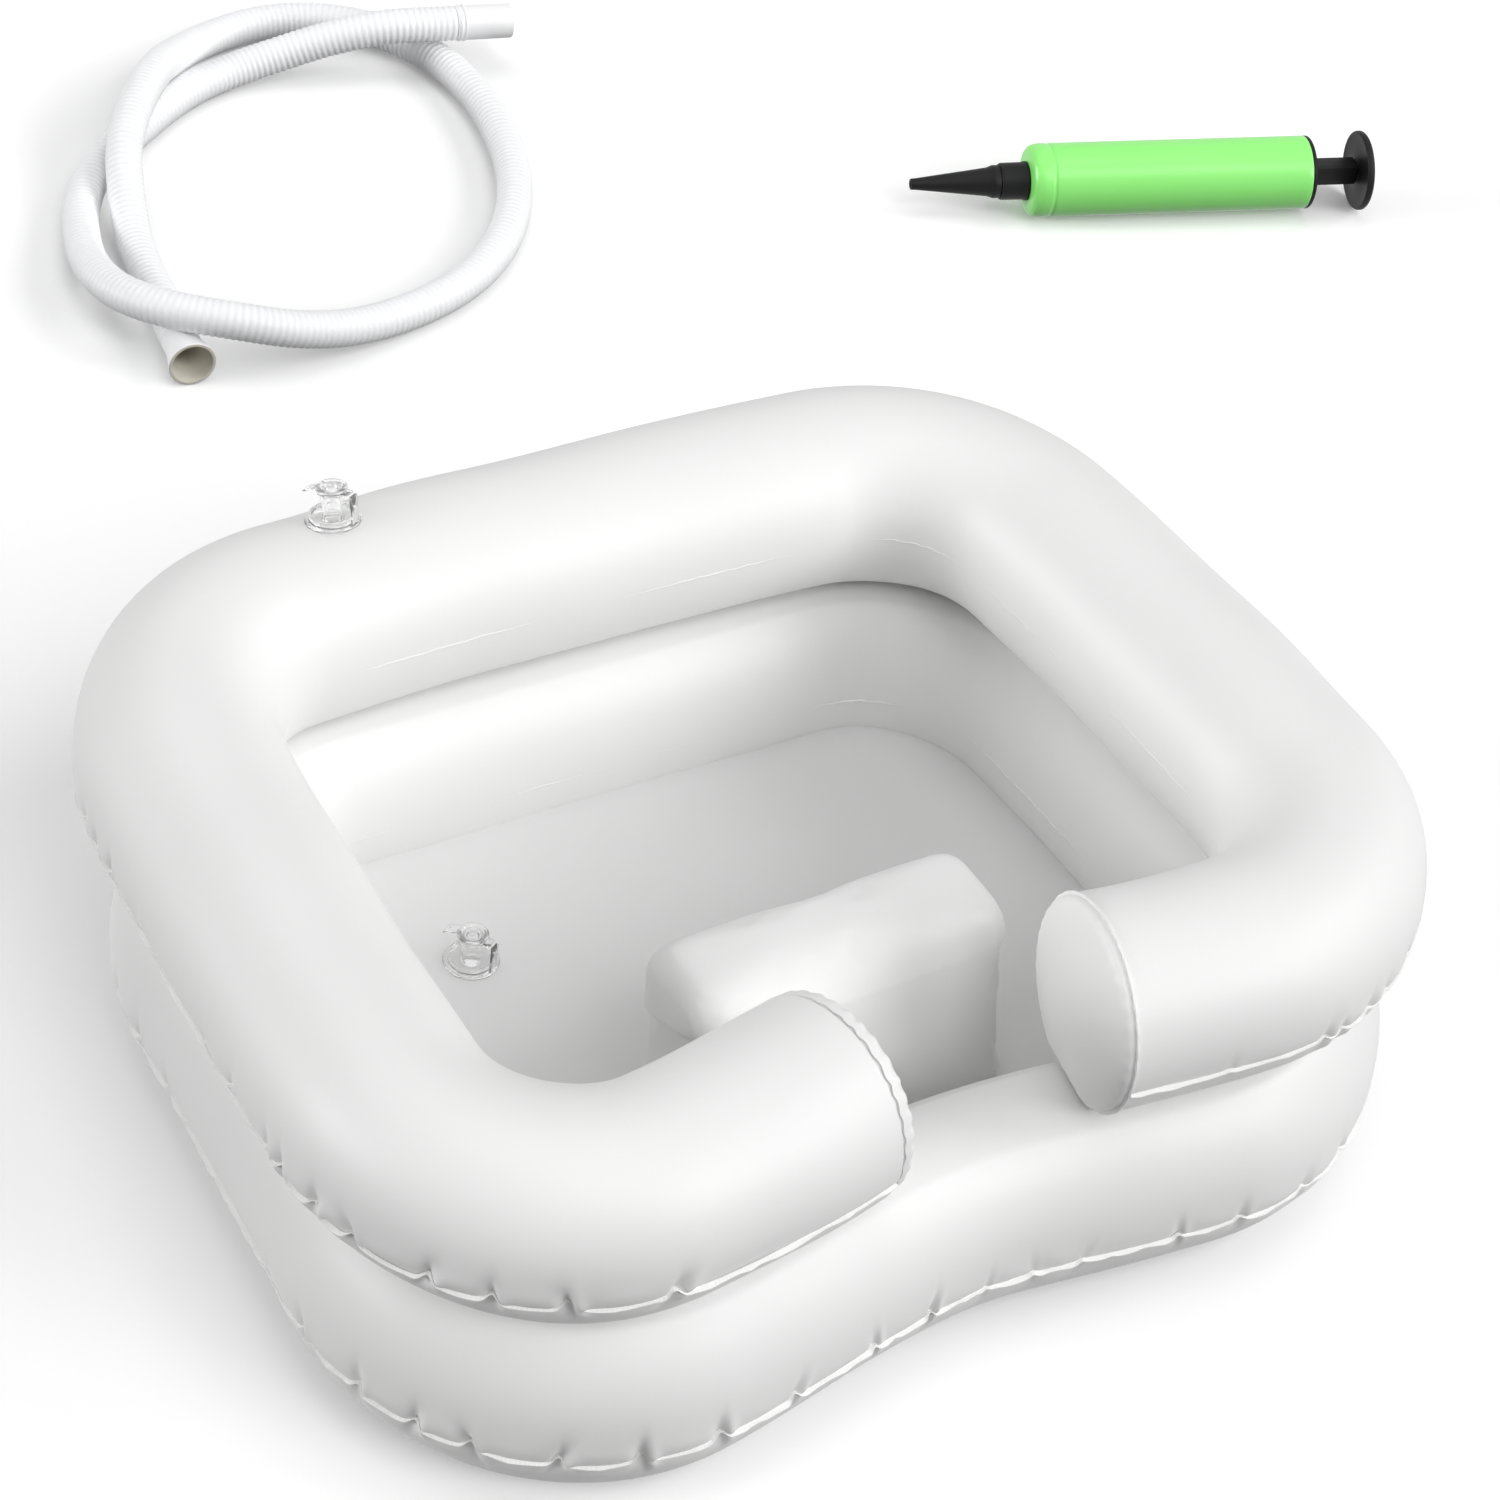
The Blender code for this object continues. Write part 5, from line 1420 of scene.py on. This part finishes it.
studio = {
    "groundSize": 24.0,
    "groundLevel": -0.0004,
    "groundSeen": "#FFFFFF",
    "groundLit": "#505050",    # what the ground throws back on the object
    "groundGlow": 0.14,        # white that the camera sees on top of the lit ground
    "worldLight": 0.315,
    # where the light comes from, in degrees from +Y towards +X and above the horizon, its strength, its angle
    "lamps": [("leftLamp", 290, 14, 0.455, 24), ("frontLamp", 150, 25, 0.355, 26),
              ("highFrontLamp", 180, 52, 0.175, 26), ("rightLamp", 119, 37, 0.250, 26),
              ("topLamp", 0, 90, 0.105, 30)],
}


def addGround(settings):
    deselectAll()
    bpy.ops.mesh.primitive_plane_add(size=settings["groundSize"], location=(0, 0, settings["groundLevel"]))
    ground = bpy.context.object
    ground.name = "studioGround"
    # Matt seamless paper: it takes the shadow, looks white to the camera and throws little light back
    mat, shader = startMaterial("seamlessPaper", {"Roughness": 0.9, "Specular IOR Level": 0.0,
                                                  "Emission Color": (1, 1, 1, 1)})
    rays = addNode(mat, "ShaderNodeLightPath", {})
    seen = rays.outputs["Is Camera Ray"]
    tint = addNode(mat, "ShaderNodeMix", {0: seen, 6: colour(settings["groundLit"]),
                                          7: colour(settings["groundSeen"])}, data_type="RGBA")
    glow = addNode(mat, "ShaderNodeMath", {0: seen, 1: settings["groundGlow"]}, operation="MULTIPLY")
    feed(mat, shader, {"Base Color": tint.outputs[2], "Emission Strength": glow.outputs[0]})
    white = addNode(mat, "ShaderNodeEmission", {"Color": (1, 1, 1, 1), "Strength": 1.0})
    share = anyOf(mat, rays.outputs["Is Glossy Ray"], rays.outputs["Is Transmission Ray"])
    both = addNode(mat, "ShaderNodeMixShader", {0: share, 1: shader.outputs[0], 2: white.outputs[0]})
    feed(mat, mat.node_tree.nodes["Material Output"], {"Surface": both.outputs[0]})
    ground.data.materials.append(mat)


def addLamps(settings):
    for name, heading, height, strength, spread in settings["lamps"]:
        lamp = bpy.data.lights.new(name, "SUN")
        lamp.energy = pi * strength
        lamp.angle = radians(spread)
        holder = bpy.data.objects.new(name, lamp)
        bpy.context.scene.collection.objects.link(holder)
        turn, rise = radians(heading), radians(height)
        way = Vector((sin(turn) * cos(rise), cos(turn) * cos(rise), sin(rise)))
        holder.matrix_world = (-way).to_track_quat("-Z", "Y").to_matrix().to_4x4()


def addWorld(settings):
    world = bpy.data.worlds.new("studioAir")
    world.use_nodes = True
    bpy.context.scene.world = world
    air = world.node_tree.nodes["Background"]
    rays = addNode(world, "ShaderNodeLightPath", {})
    seen = anyOf(world, rays.outputs["Is Camera Ray"], rays.outputs["Is Glossy Ray"],
                 rays.outputs["Is Transmission Ray"])
    strength = addNode(world, "ShaderNodeMapRange", {"Value": seen, "To Min": settings["worldLight"],
                                                     "To Max": 1.0})
    feed(world, air, {"Color": (1, 1, 1, 1), "Strength": strength.outputs["Result"]})


addGround(studio)
addLamps(studio)
addWorld(studio)
bpy.context.scene.view_settings.view_transform = "Standard"
print("studio lit")
